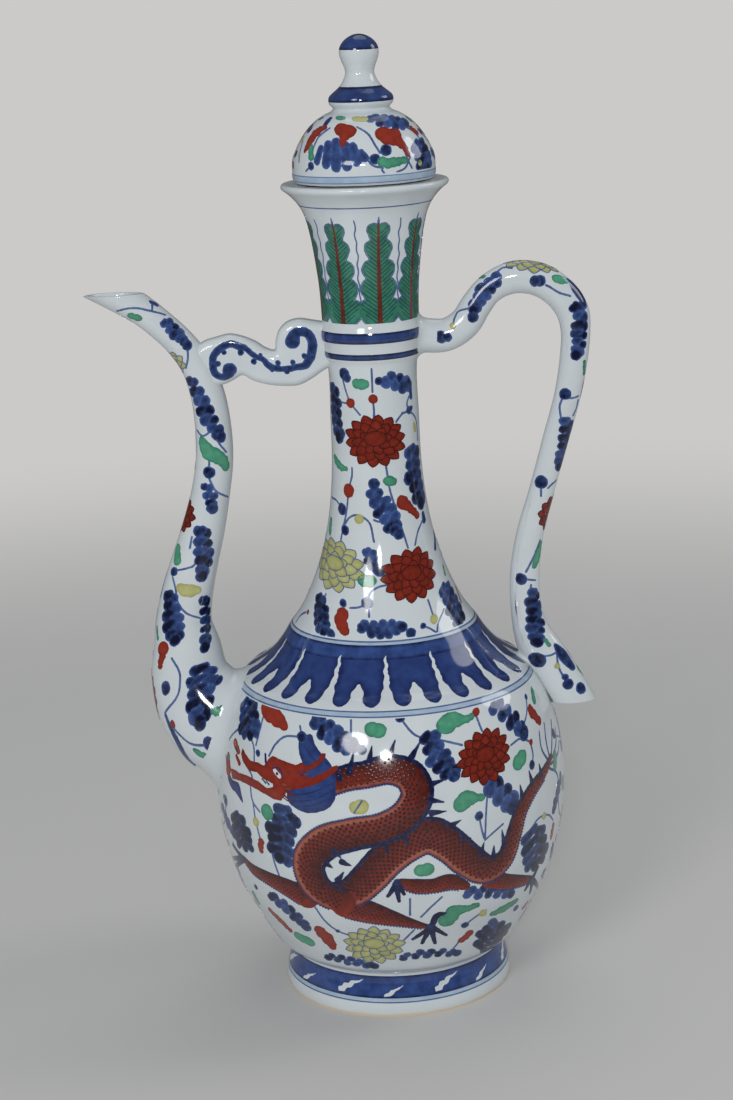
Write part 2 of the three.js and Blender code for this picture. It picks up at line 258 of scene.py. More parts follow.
lidSizes = {
    "dome": [(25, 308.45), (25.6, 309.3), (25.9, 312.9), (25.7, 316.2), (24.5, 319.6), (22.9, 322.6),
        (21.1, 325.4), (19, 327.9), (16.4, 330.2), (13.4, 332), (11, 333.1), (10.1, 334)],
    "ring": [(10.5, 334.6), (11.4, 335.5), (11.7, 336.8), (11.4, 338.2), (10.3, 339.3)],
    "knob": [(9.2, 340.2), (7.9, 341.3), (6.6, 343), (5.6, 345), (5.2, 346.6), (5.6, 348.5), (6.5, 350.8),
        (7.1, 353.2), (6.9, 355.3), (5.6, 357.4), (3.3, 359.1), (1.4, 359.8), (0, 359.95)],
    "hollow": [(0, 330.6), (8, 330), (14, 327.5), (18.3, 321), (18.4, 312), (18.4, 308.45)],
    "foot": [(18.4, 308.45), (19.2, 308.35), (24.2, 308.35), (24.8, 308.45)],
    "flange": (21.1, 18.1, 302.4, 303.2, 308.6),  # outer and inner radius, foot, low, high
    "sides": 128,
}
ewerOutline = np.vstack([curveThrough(ewerSizes[k]) for k in ("foot", "belly", "collar", "cup")])
lidOutline = np.vstack([curveThrough(lidSizes[k]) for k in ("dome", "ring", "knob")])
ewerGround, lidGround = TurnedGround(ewerOutline), TurnedGround(lidOutline)


# Node trees
def nodeTools(tree):
    # Two short ways to add a node to a tree; both give its first output, or the one named
    def node(kind, inputs=(), output=None, **settings):
        made = tree.nodes.new(kind)
        for name, value in settings.items():
            setattr(made, name, value)
        for key, value in dict(inputs).items():
            socket = made.inputs[key] if isinstance(key, int) else next(
                s for s in made.inputs if s.name == key and s.enabled)
            for part in value if isinstance(value, list) else [value]:
                if isinstance(part, bpy.types.NodeSocket):
                    tree.links.new(part, socket)
                else:
                    socket.default_value = part
        return made.outputs[output] if output else next(s for s in made.outputs if s.enabled)

    def maths(operation, a, b=0):
        return node("ShaderNodeMath", {0: a, 1: b}, operation=operation)
    return node, maths


def turnOutline(start, node, maths):
    # Turns an outline of loose points, in their order, round the upright axis
    count = node("GeometryNodeAttributeDomainSize", {0: start["Geometry"]})
    grid = node("GeometryNodeMeshGrid", {"Vertices X": maths("ADD", start["Sides"], 1), "Vertices Y": count})
    place = node("GeometryNodeInputPosition")
    apart = node("ShaderNodeSeparateXYZ", {0: place}).node.outputs
    angle = maths("MULTIPLY", maths("ADD", apart[0], 0.5), math.tau)
    row = maths("MULTIPLY", maths("ADD", apart[1], 0.5), maths("SUBTRACT", count, 1))
    value = node("GeometryNodeSampleIndex", data_type="FLOAT_VECTOR", inputs={
        "Geometry": start["Geometry"], "Value": place, "Index": maths("ROUND", row)})
    ring = node("ShaderNodeSeparateXYZ", {0: value}).node.outputs
    x = maths("ADD", maths("MULTIPLY", ring[0], maths("COSINE", angle)), start["Axis"])
    y = maths("MULTIPLY", ring[0], maths("SINE", angle))
    spot = node("ShaderNodeCombineXYZ", {0: x, 1: y, 2: ring[2]})
    moved = node("GeometryNodeSetPosition", {"Geometry": grid, "Position": spot})
    return node("GeometryNodeMergeByDistance", {"Geometry": moved, "Distance": 1e-6})


def repeatRound(start, node, maths):
    # Copies what is painted once evenly round the upright axis
    away = node("ShaderNodeCombineXYZ", {0: start["Axis"]})
    back = node("ShaderNodeVectorMath", {0: away, "Scale": -1}, operation="SCALE")
    centred = node("GeometryNodeTransform", {"Geometry": start["Geometry"], "Translation": back})
    line = node("GeometryNodeMeshLine", {"Count": start["Count"], "Offset": (0, 0, 0)})
    angle = maths("MULTIPLY", node("GeometryNodeInputIndex"), maths("DIVIDE", math.tau, start["Count"]))
    spin = node("ShaderNodeCombineXYZ", {2: maths("ADD", angle, start["First"])})
    copies = node("GeometryNodeInstanceOnPoints", {"Points": line, "Instance": centred, "Rotation": spin})
    whole = node("GeometryNodeRealizeInstances", {0: copies})
    return node("GeometryNodeTransform", {"Geometry": whole, "Translation": away})


def mirrorToBack(start, node, maths):
    # Joins what is painted on the front with its mirror image on the back
    flipped = node("GeometryNodeTransform", {"Geometry": start["Geometry"], "Scale": (1, -1, 1)})
    turned = node("GeometryNodeFlipFaces", {0: flipped})
    return node("GeometryNodeJoinGeometry", {0: [start["Geometry"], turned]})


def scatterMarks(start, node, maths):
    # Sets a small shape on each point, facing out of the surface and along the stroke
    mark = node("GeometryNodeObjectInfo", {"Object": start["Mark"]}, "Geometry")
    facing, along = (node("GeometryNodeInputNamedAttribute", {"Name": name}, data_type="FLOAT_VECTOR")
                     for name in ("facing", "along"))
    size = node("GeometryNodeInputNamedAttribute", {"Name": "size"})
    turned = node("FunctionNodeAxesToRotation", {"Primary Axis": facing, "Secondary Axis": along},
                  primary_axis="Z", secondary_axis="Y")
    return node("GeometryNodeInstanceOnPoints", {"Points": start["Geometry"], "Instance": mark,
                                                 "Rotation": turned, "Scale": size})


def makeTree(shape, **numbers):
    tree = bpy.data.node_groups.new(shape.__name__, "GeometryNodeTree")
    kinds = {"Geometry": ("Geometry", None), **numbers, "Material": ("Material", None)}
    for label, (kind, value) in kinds.items():
        socket = tree.interface.new_socket(name=label, in_out="INPUT", socket_type="NodeSocket" + kind)
        if value is not None:
            socket.default_value = value
    tree.interface.new_socket(name="Geometry", in_out="OUTPUT", socket_type="NodeSocketGeometry")
    start = tree.nodes.new("NodeGroupInput").outputs
    node, maths = nodeTools(tree)
    realized = node("GeometryNodeRealizeInstances", {0: shape(start, node, maths)})
    dressed = node("GeometryNodeSetMaterial", {0: realized, 2: start["Material"]})
    tree.links.new(dressed, tree.nodes.new("NodeGroupOutput").inputs[0])
    return tree


trees = {
    "turn": makeTree(turnOutline, Sides=("Int", 96), Axis=("Float", 0.0)),
    "repeat": makeTree(repeatRound, Count=("Int", 2), Axis=("Float", 0.0), First=("Float", 0.0)),
    "mirror": makeTree(mirrorToBack),
    "scatter": makeTree(scatterMarks, Mark=("Object", None)),
}


def runTree(piece, name, material, **values):
    # Bakes the tree's result into the piece as a plain mesh
    tree = trees[name]
    modifier = piece.modifiers.new("shape", "NODES")
    modifier.node_group = tree
    sockets = {item.name: item.identifier for item in tree.interface.items_tree if item.in_out == "INPUT"}
    for label, value in {**values, "Material": materials[material]}.items():
        modifier[sockets[label]] = value
    graph = bpy.context.evaluated_depsgraph_get()
    graph.update()
    mesh = bpy.data.meshes.new_from_object(piece.evaluated_get(graph), depsgraph=graph)
    piece.modifiers.remove(modifier)
    old, piece.data = piece.data, mesh
    mesh.name = piece.name
    bpy.data.meshes.remove(old)


def newPiece(name, points, faces=(), material=None):
    mesh = bpy.data.meshes.new(name)
    mesh.from_pydata([tuple(p) for p in points], [], [tuple(int(i) for i in f) for f in faces])
    if material:
        mesh.materials.append(materials[material])
    piece = bpy.data.objects.new(name, mesh)
    bpy.context.scene.collection.objects.link(piece)
    return piece


def setValues(piece, kind="FLOAT", **values):
    # Numbers or directions on the points, which the trees and the glazes read
    for name, numbers in values.items():
        layer = piece.data.attributes.new(name, kind, "POINT")
        field = "value" if kind == "FLOAT" else "vector"
        layer.data.foreach_set(field, np.asarray(numbers, np.float32).ravel())


def smoothFaces(piece, sharpDegrees=40):
    piece.data.polygons.foreach_set("use_smooth", [True] * len(piece.data.polygons))
    piece.data.set_sharp_from_angle(angle=math.radians(sharpDegrees))


def settle(piece, body, slotName, *replaced):
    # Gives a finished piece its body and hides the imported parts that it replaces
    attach(piece, body)
    if replaced:
        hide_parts(*replaced)


# Glazes and pigments
def colour(*values):
    # Display values of 0 to 255 as the linear values that shaders take
    shares = [v / 255 for v in values]
    return (*(v / 12.92 if v <= 0.04045 else ((v + 0.055) / 1.055) ** 2.4 for v in shares), 1)


def newMaterial(name):
    material = bpy.data.materials.new(name)
    material.use_nodes = True
    return material, material.node_tree.nodes["Principled BSDF"].inputs


glazeSizes = {
    "refraction": 1.52, "detail": 4.0, "crispness": 0.55, "driftFrom": 0.32, "driftTo": 0.68, "toneShare": 0.5,
    "rippleScale": 85.0, "rippleDepth": 0.001,
}


def glaze(name, pale, deep, grain, grainShare, washShare=0.0, roughness=0.09, ripple=0.03):
    # A glossy fired surface whose colour drifts between two tones, darker where the wash pooled
    s = glazeSizes
    material, shader = newMaterial(name)
    node, maths = nodeTools(material.node_tree)
    shader["Roughness"].default_value = roughness
    shader["IOR"].default_value = s["refraction"]
    place = node("ShaderNodeTexCoord", (), "Object")
    cloud = node("ShaderNodeTexNoise", {"Vector": place, "Scale": grain, "Detail": s["detail"],
                                        "Roughness": s["crispness"]})
    drift = node("ShaderNodeMapRange", {0: cloud, 1: s["driftFrom"], 2: s["driftTo"]})
    depth = maths("MULTIPLY", drift, grainShare)
    if washShare:
        wash, tone = (node("ShaderNodeAttribute", (), "Fac", attribute_name=name) for name in ("wash", "tone"))
        depth = maths("ADD", depth, maths("MULTIPLY", maths("SUBTRACT", 1.0, wash), washShare))
        depth = maths("ADD", depth, maths("MULTIPLY", tone, s["toneShare"]))
    mixed = node("ShaderNodeMix", {0: depth, 6: colour(*pale), 7: colour(*deep)}, data_type="RGBA")
    material.node_tree.links.new(mixed, shader["Base Color"])
    if ripple:
        swell = node("ShaderNodeTexNoise", {"Vector": place, "Scale": s["rippleScale"], "Detail": 1.0})
        bump = node("ShaderNodeBump", {"Height": swell, "Strength": ripple, "Distance": s["rippleDepth"]})
        material.node_tree.links.new(bump, shader["Normal"])
    return material


glazes = {  # pale and deep tone, 0 to 255, then size and share of the drift
    "porcelain": ((205, 212, 215), (192, 201, 206), 55, 0.5, {"roughness": 0.07, "ripple": 0.05}),
    "cobalt": ((64, 90, 148), (10, 15, 44), 420, 0.45, {"washShare": -0.5}),
    "cobaltWash": ((54, 80, 140), (22, 33, 76), 240, 0.6, {"washShare": 0.75}),
    "cobaltInk": ((46, 66, 122), (14, 20, 54), 420, 0.5, {"washShare": 0.2}),
    "cobaltRing": ((50, 72, 126), (16, 24, 58), 240, 0.5, {"washShare": 0.8}),
    "cobaltLine": ((92, 112, 156), (66, 84, 132), 300, 1.0, {}),
    "lappetBlue": ((48, 72, 130), (26, 40, 90), 200, 0.5, {"washShare": 0.55}),
    "leafHatch": ((24, 72, 66), (16, 48, 50), 300, 1.0, {}),
    "ironRib": ((112, 52, 36), (74, 34, 28), 300, 1.0, {"roughness": 0.13}),
    "scaleInk": ((66, 24, 28), (42, 18, 30), 300, 1.0, {"roughness": 0.13}),
    "cobaltTint": ((170, 188, 202), (152, 173, 192), 200, 1.0, {}),
    "cobaltFaint": ((120, 142, 180), (100, 124, 168), 300, 1.0, {}),
    "cobaltMane": ((50, 72, 128), (28, 40, 86), 300, 0.6, {"washShare": 0.4}),
    "ironRed": ((138, 42, 26), (92, 26, 16), 500, 0.5, {"washShare": 0.4, "roughness": 0.13}),
    "ironBright": ((150, 52, 37), (108, 33, 24), 420, 0.4, {"washShare": 0.45, "roughness": 0.13}),
    "ironLine": ((74, 20, 16), (56, 16, 14), 300, 1.0, {"roughness": 0.13}),
    "green": ((88, 162, 130), (38, 108, 84), 350, 0.4, {"washShare": 0.55}),
    "leafGreen": ((66, 132, 110), (32, 90, 78), 300, 0.6, {"washShare": 0.3}),
    "yellow": ((190, 190, 132), (148, 148, 84), 350, 0.4, {"washShare": 0.55}),
    "dragonRed": ((128, 44, 28), (66, 17, 11), 380, 0.4, {"washShare": 0.5, "roughness": 0.13}),
    "dragonPale": ((172, 102, 82), (104, 36, 26), 380, 0.25, {"washShare": 0.9, "roughness": 0.13}),
    "bareClay": ((214, 204, 186), (188, 174, 150), 900, 0.8, {"roughness": 0.62, "ripple": 0.0}),
}
footRim = {  # metres, and the colour from 0 to 255
    "clay": (206, 192, 168), "height": 0.0006, "waver": 0.0009, "waverScale": 120.0, "edge": 0.0003,
    "roughness": 0.6,
}


def wipeFootRim(tree):
    # The rim that stood in the kiln has no glaze on it
    shader = tree.nodes["Principled BSDF"].inputs
    node, maths = nodeTools(tree)
    place = node("ShaderNodeTexCoord", (), "Object")
    height = node("ShaderNodeSeparateXYZ", {0: place}, "Z")
    waver = node("ShaderNodeTexNoise", {"Vector": place, "Scale": footRim["waverScale"]})
    edge = maths("ADD", footRim["height"], maths("MULTIPLY", waver, footRim["waver"]))
    covered = node("ShaderNodeMapRange", {0: maths("SUBTRACT", height, edge), 2: footRim["edge"]})
    mixed = node("ShaderNodeMix", {0: covered, 6: colour(*footRim["clay"]),
                                   7: shader["Base Color"].links[0].from_socket}, data_type="RGBA")
    tree.links.new(mixed, shader["Base Color"])
    glossy = shader["Roughness"].default_value
    rough = node("ShaderNodeMapRange", {0: covered, 3: footRim["roughness"], 4: glossy})
    tree.links.new(rough, shader["Roughness"])


materials = {name: glaze(name, *tones, **more) for name, (*tones, more) in glazes.items()}
wipeFootRim(materials["porcelain"].node_tree)
print("materials made:", len(materials))


# Turned shells
def turnedPiece(name, outline, sides, material):
    # Closed outline of radius and height, turned round the axis
    piece = newPiece(name, np.column_stack([outline[:, 0], np.zeros(len(outline)), outline[:, 1]]) / 1000)
    runTree(piece, "turn", material, Sides=sides, Axis=axisX)
    smoothFaces(piece)
    return piece


def ewerProfile():
    s = ewerSizes
    outer = evenly(ewerOutline, 1.1)
    inner = outer + leftOf(runOf(outer)) * s["wall"]
    inner = inner[(inner[:, 1] > s["floor"] + 3) & (inner[:, 1] < s["innerTop"])]
    r, z = inner.T
    r = r + np.interp(z, s["neckThinning"], [0, s["wall"] - s["neckWall"]])
    r = np.where(z > s["collarZ"], np.maximum(r, s["neckBore"]), r)
    r = np.minimum(r, np.where(z > s["cupZ"], s["bore"], 99))
    inner = np.column_stack([r, z])[::3]
    rim = curveThrough(s["rim"], 5)
    floor = [(inner[0, 0] - inset, s["floor"] + rise) for inset, rise in s["floorRound"]]
    return np.vstack([s["under"], outer[:-1], rim, inner[::-1], floor, [(0, s["floor"])]])


def lidProfile():
    hollow, foot = curveThrough(lidSizes["hollow"], 5), curveThrough(lidSizes["foot"], 3)[1:-1]
    return np.vstack([hollow, foot, evenly(lidOutline, 0.35)[:-1], lidSizes["knob"][-1:]])


def flangeProfile():
    outer, inner, foot, low, high = lidSizes["flange"]
    line = curveThrough([(inner, high), (inner, low), (inner + 0.5, foot + 0.2), ((inner + outer) / 2, foot),
                         (outer - 0.5, foot + 0.2), (outer, low), (outer, high)], 4)
    return np.vstack([line, line[:1]])


settle(turnedPiece("ewerShell", ewerProfile(), ewerSizes["sides"], "porcelain"), "ewer", "upper_body",
       "foot_ring", "lower_body", "upper_body", "neck", "neck_collar", "mouth_cup")
settle(turnedPiece("lidShell", lidProfile(), lidSizes["sides"], "porcelain"), "lid", "lid_dome",
       "lid_dome", "lid_knob_ring", "lid_finial")
settle(turnedPiece("lidFlange", flangeProfile(), lidSizes["sides"], "bareClay"), "lid", "lid_flange",
       "lid_flange")
print("turned shells made")


# Spout and handle
spoutSizes = {  # stations hold x, z and half the width
    "stations": [(-104, 278.5, 7.4), (-92.3, 270.5, 6.2), (-83.6, 264.5, 5.6), (-76.5, 258.3, 5.5),
        (-70, 251.5, 5.6), (-64.8, 243.5, 5.9), (-61.5, 233, 6.3), (-60, 220, 6.7), (-60.2, 208, 6.95),
        (-62.4, 195, 7.2), (-66, 181, 8), (-70, 168.5, 8.8), (-73.6, 156, 9.7), (-75.4, 146, 10.6),
        (-74.8, 135, 13), (-74.2, 124.5, 15), (-70.3, 114.5, 18.5), (-63.5, 107, 21.5), (-54, 102.5, 22),
        (-42, 100, 22)],
    "depth": ([5.5, 12, 22], [0.94, 0.88, 0.8]), "mouthZ": 270.4, "lipWall": 1.5, "rootWall": 3, "fillet": 7,
    "sides": 72, "rootReach": 75, "boreFoot": 46, "lipRise": 0.35,
}
handleSizes = {
    "stations": [(12, 250.7, 6.4), (18, 250.7, 6.4), (28, 250.6, 6.1), (34.6, 254.6, 5.9), (38.7, 260.6, 5.7),
        (43.5, 266.3, 5.5), (52.4, 270.4, 5.9), (61.2, 269.6, 6.1), (69.4, 264.3, 6.05), (74.2, 257, 6),
        (75.1, 249.3, 5.4), (74.4, 241.3, 5.2), (71.6, 226.2, 4.9), (66.9, 210.2, 4.8), (61, 190, 4.7),
        (55.8, 171.9, 5.1), (53.9, 158, 5.6), (53.8, 148, 5.8), (54.6, 141, 6.2), (56.5, 134, 7.2),
        (60, 127, 8.2), (64.5, 118.5, 8.6), (69.6, 109, 8.8), (74, 100, 9)],
    "depth": ([4, 10], [0.86, 0.86]), "tailZ": 108.7, "fillet": 3.4, "sides": 64, "headReach": 30,
    "tailFrom": 200, "tailX": 62, "tailRound": 0.6, "leastFillet": 0.4, "ends": [(14, 0, 250.7), (60, 0, 108.7)],
}
spoutGround = TubeGround(spoutSizes["stations"][::-1], spoutSizes["depth"])
handleGround = TubeGround(handleSizes["stations"], handleSizes["depth"])


def outsideEwer(points):
    return np.hypot(points[:, 0], points[:, 1]) - ewerGround.radiusAt(points[:, 2])


def tubeLine(ground, angle, ys, growth=0.0):
    # Points along the tube at a fixed angle
    return ground.place(np.column_stack([np.full(len(ys), angle * ground.reference), ys]), 0, growth)


def wholeLine(ground, angle, growth=0.0):
    y = np.linspace(0, ground.length[-1], len(ground.length))
    return y, tubeLine(ground, angle, y, growth)


def crossing(y, values, last=True):
    # Where values change their sign, nearest the end or nearest the start
    changes = np.nonzero((values[1:] > 0) != (values[:-1] > 0))[0]
    if len(changes) == 0:
        return None
    i = changes[-1 if last else 0]
    share = values[i] / (values[i] - values[i + 1])
    return y[i] + share * (y[i + 1] - y[i])


def tubeAt(ground, angle, y, growth=0.0):
    return tubeLine(ground, angle, [y], growth)[0]


def ease(start, corner, end, steps=7):
    t = np.linspace(0, 1, steps)[:, None]
    return (1 - t) ** 2 * start + 2 * t * (1 - t) * corner + t**2 * end


def rootFillet(ground, angle, y, reach, direction, sink=0.06):
    # Points that ease the tube's side into the turned surface, from the tube outwards
    corner = tubeAt(ground, angle, y)
    start = tubeAt(ground, angle, y + direction * reach)
    middle = np.insert(readAt(y, ground.length, *ground.centre.T), 1, 0)
    outR, outZ = readAt(ewerGround.yAt(corner[2]), ewerGround.length, *ewerGround.out.T)
    r = math.hypot(corner[0], corner[1])
    facing = np.array([outR * corner[0] / r, outR * corner[1] / r, outZ])
    away = corner - middle
    away -= facing * (away @ facing)
    foot = corner + away / np.linalg.norm(away) * reach
    scale = (ewerGround.radiusAt(foot[2]) - sink) / math.hypot(foot[0], foot[1])
    return ease(start, corner, foot * np.array([scale, scale, 1]))


def spoutLine(angle):
    # One line of the spout's wall: up the outside, over the lip and down the inside
    s, ground = spoutSizes, spoutGround
    y, line = wholeLine(ground, angle)
    low = y < s["rootReach"]
    root = crossing(y[low], outsideEwer(line)[low]) + s["fillet"]
    mouth = crossing(y, line[:, 2] - s["mouthZ"]) or y[-1]
    fillet = rootFillet(ground, angle, root - s["fillet"], s["fillet"], 1)[::-1]
    body = tubeLine(ground, angle, root + np.linspace(0, 1, 110) * (mouth - 0.5 - root))
    yi, inner = wholeLine(ground, angle, -s["lipWall"])
    mouthIn = crossing(yi, inner[:, 2] - s["mouthZ"]) or yi[-1]
    outerLip, innerLip = tubeAt(ground, angle, mouth), tubeAt(ground, angle, mouthIn, -s["lipWall"])
    lip = [outerLip * (1 - q) + innerLip * q + np.array([0, 0, s["lipRise"] * math.sin(math.pi * q)])
           for q in (0.0, 0.18, 0.5, 0.82, 1.0)]
    down = np.linspace(mouthIn - 1.0, s["boreFoot"], 60)
    wall = np.interp(down, [s["boreFoot"], mouthIn], [s["rootWall"], s["lipWall"]])
    return np.vstack([fillet[:-1], body, lip, [tubeAt(ground, angle, a, -b) for a, b in zip(down, wall)]])


def handleLine(angle):
    # One line of the handle, eased into the collar and the shoulder; the tail's own end stays free
    s, ground = handleSizes, handleGround
    y, line = wholeLine(ground, angle)
    gap = outsideEwer(line)
    head, tail = y < s["headReach"], y > s["tailFrom"]
    root = crossing(y[head], gap[head], last=False)
    cut = crossing(y[tail], line[tail][:, 2] - s["tailZ"]) or y[-1]
    into = crossing(y[tail], gap[tail], last=False)
    meets = into is not None and into < cut
    end = into if meets else cut
    least = s["leastFillet"]
    reach = least + (s["fillet"] - least) * (min(1.0, (cut - into) / 6) if meets else 0.0)
    start = rootFillet(ground, angle, root, s["fillet"], 1)[::-1]
    body = tubeLine(ground, angle, np.linspace(root + s["fillet"], end - reach, 150))
    if meets:
        finish = rootFillet(ground, angle, end, reach, -1)
    else:
        corner = tubeAt(ground, angle, end)
        inward = np.array([s["tailX"], 0, s["tailZ"]]) - corner
        inward = inward / np.linalg.norm(inward) * s["tailRound"]
        finish = ease(tubeAt(ground, angle, end - reach), corner, corner + inward)
    return np.vstack([start[:-1], body, finish[1:]])


def tubePiece(name, sides, line, slotName, ends=None):
    # A closed skin of lines along the tube; each end closes on its own middle point
    rings = np.transpose([line(angle) for angle in np.arange(sides) / sides * math.tau], (1, 0, 2))
    count = len(rings)
    points = np.vstack([rings.reshape(-1, 3), ends or [rings[0].mean(0), rings[-1].mean(0)]])
    near = np.arange(sides)
    following = (near + 1) % sides
    faces = [(i * sides + j, i * sides + k, (i + 1) * sides + k, (i + 1) * sides + j)
             for i in range(count - 1) for j, k in zip(near, following)]
    last = (count - 1) * sides
    for j, k in zip(near, following):
        faces += [(count * sides, k, j), (count * sides + 1, last + j, last + k)]
    piece = newPiece(name, toScene(points), faces, "porcelain")
    smoothFaces(piece, 60)
    settle(piece, "ewer", slotName, slotName)


tubePiece("spoutTube", spoutSizes["sides"], spoutLine, "spout")
tubePiece("handleBar", handleSizes["sides"], handleLine, "handle", handleSizes["ends"])
print("spout and handle made")


# Filled outlines
def polygonDepth(polygon, u, v):
    # How far each place lies inside a closed outline, negative outside
    nearest, inside = np.full(u.shape, 1e9), np.zeros(u.shape, bool)
    for (u0, v0), (u1, v1) in zip(polygon, np.roll(polygon, -1, axis=0)):
        du, dv = u1 - u0, v1 - v0
        t = np.clip(((u - u0) * du + (v - v0) * dv) / max(du * du + dv * dv, 1e-12), 0, 1)
        nearest = np.minimum(nearest, (u - u0 - t * du) ** 2 + (v - v0 - t * dv) ** 2)
        if v0 != v1:
            inside ^= ((v0 > v) != (v1 > v)) & (u < du * (v - v0) / (v1 - v0) + u0)
    return np.where(inside, 1, -1) * np.sqrt(nearest)


def outlinesOf(field):
    # Closed outlines where the field is zero, as grid columns and rows
    inside = field > 0
    rows, cols = field.shape
    code = inside[:-1, :-1] * 1 + inside[:-1, 1:] * 2 + inside[1:, 1:] * 4 + inside[1:, :-1] * 8
    r, c = np.nonzero((code > 0) & (code < 15))
    upright = rows * cols
    base = r * cols + c
    sides = np.column_stack([base, upright + base + 1, base + cols, upright + base])
    links = {1: ((0, 3),), 2: ((1, 0),), 3: ((1, 3),), 4: ((2, 1),), 5: ((0, 3), (2, 1)), 6: ((2, 0),),
             7: ((2, 3),), 8: ((3, 2),), 9: ((0, 2),), 10: ((1, 0), (3, 2)), 11: ((1, 2),), 12: ((3, 1),),
             13: ((0, 1),), 14: ((3, 0),)}
    follow = {side[a]: side[b] for side, kind in zip(sides.tolist(), code[r, c].tolist())
              for a, b in links[kind]}
    loops = []
    while follow:
        start, here = follow.popitem()
        loop = [start]
        while here != start:
            loop.append(here)
            here = follow.pop(here)
        ids = np.array(loop)
        level = ids < upright
        row, col = np.divmod(np.where(level, ids, ids - upright), cols)
        a = field[row, col]
        b = np.where(level, field[row, np.minimum(col + 1, cols - 1)],
                     field[np.minimum(row + 1, rows - 1), col])
        t = a / (a - b)
        loops.append(np.column_stack([col + np.where(level, t, 0), row + np.where(level, 0, t)]))
    return loops


def simplified(loop, tolerance, longest):
    # Drops the points of a closed outline that lie on its line anyway
    count = len(loop)
    closed = np.vstack([loop, loop[:1]])
    keep = np.zeros(count + 1, bool)
    keep[[0, count // 2]] = True
    stack = [(0, count // 2), (count // 2, count)]
    while stack:
        a, b = stack.pop()
        if b - a < 2:
            continue
        chord, offset = closed[b] - closed[a], closed[a + 1:b] - closed[a]
        span = math.hypot(*chord)
        off = np.abs(offset[:, 0] * chord[1] - offset[:, 1] * chord[0]) / max(span, 1e-9)
        k = a + 1 + int(np.argmax(off))
        if off.max() <= tolerance:
            if span <= longest:
                continue
            k = (a + b) // 2
        keep[k] = True
        stack += [(a, k), (k, b)]
    return loop[keep[:count]]


def rimOf(faces):
    # The edges that only one face uses, in that face's direction
    ends = np.vstack([faces[:, [0, 1]], faces[:, [1, 2]], faces[:, [2, 0]]]).tolist()
    known = set(map(tuple, ends))
    return [(a, b) for a, b in ends if (b, a) not in known]


def slab(name, over, under, faces, material="porcelain"):
    # A closed piece between two skins of the same triangles
    count = len(over)
    solid = faces.tolist() + (faces[:, ::-1] + count).tolist()
    solid += [(b, a, a + count, b + count) for a, b in rimOf(faces)]
    return newPiece(name, toScene(np.vstack([over, under])), solid, material)


leafSizes = {  # shares of a leaf's width and length
    "rootWidth": 0.9, "dabShare": 0.76, "dabLength": 0.58, "dabWidth": 0.6, "bend": 0.09, "lean": 0.42,
    "swell": (0.74, 0.3), "apart": (0.35, 0.16), "dabTone": (0.1, 1.5), "tipTone": 1.2,
}
flowerSizes = {
    "rows": ((1.0, 0.5, 0, 0.0), (0.76, 0.3, 3, 0.5), (0.52, 0.1, 6, 0.2)),  # tip, root, fewer petals, turn
    "fewest": 5, "overlap": 1.04, "ink": 0.17,
    "seedHead": (0.34, 0.27, 0.08),  # width, height and rise
}


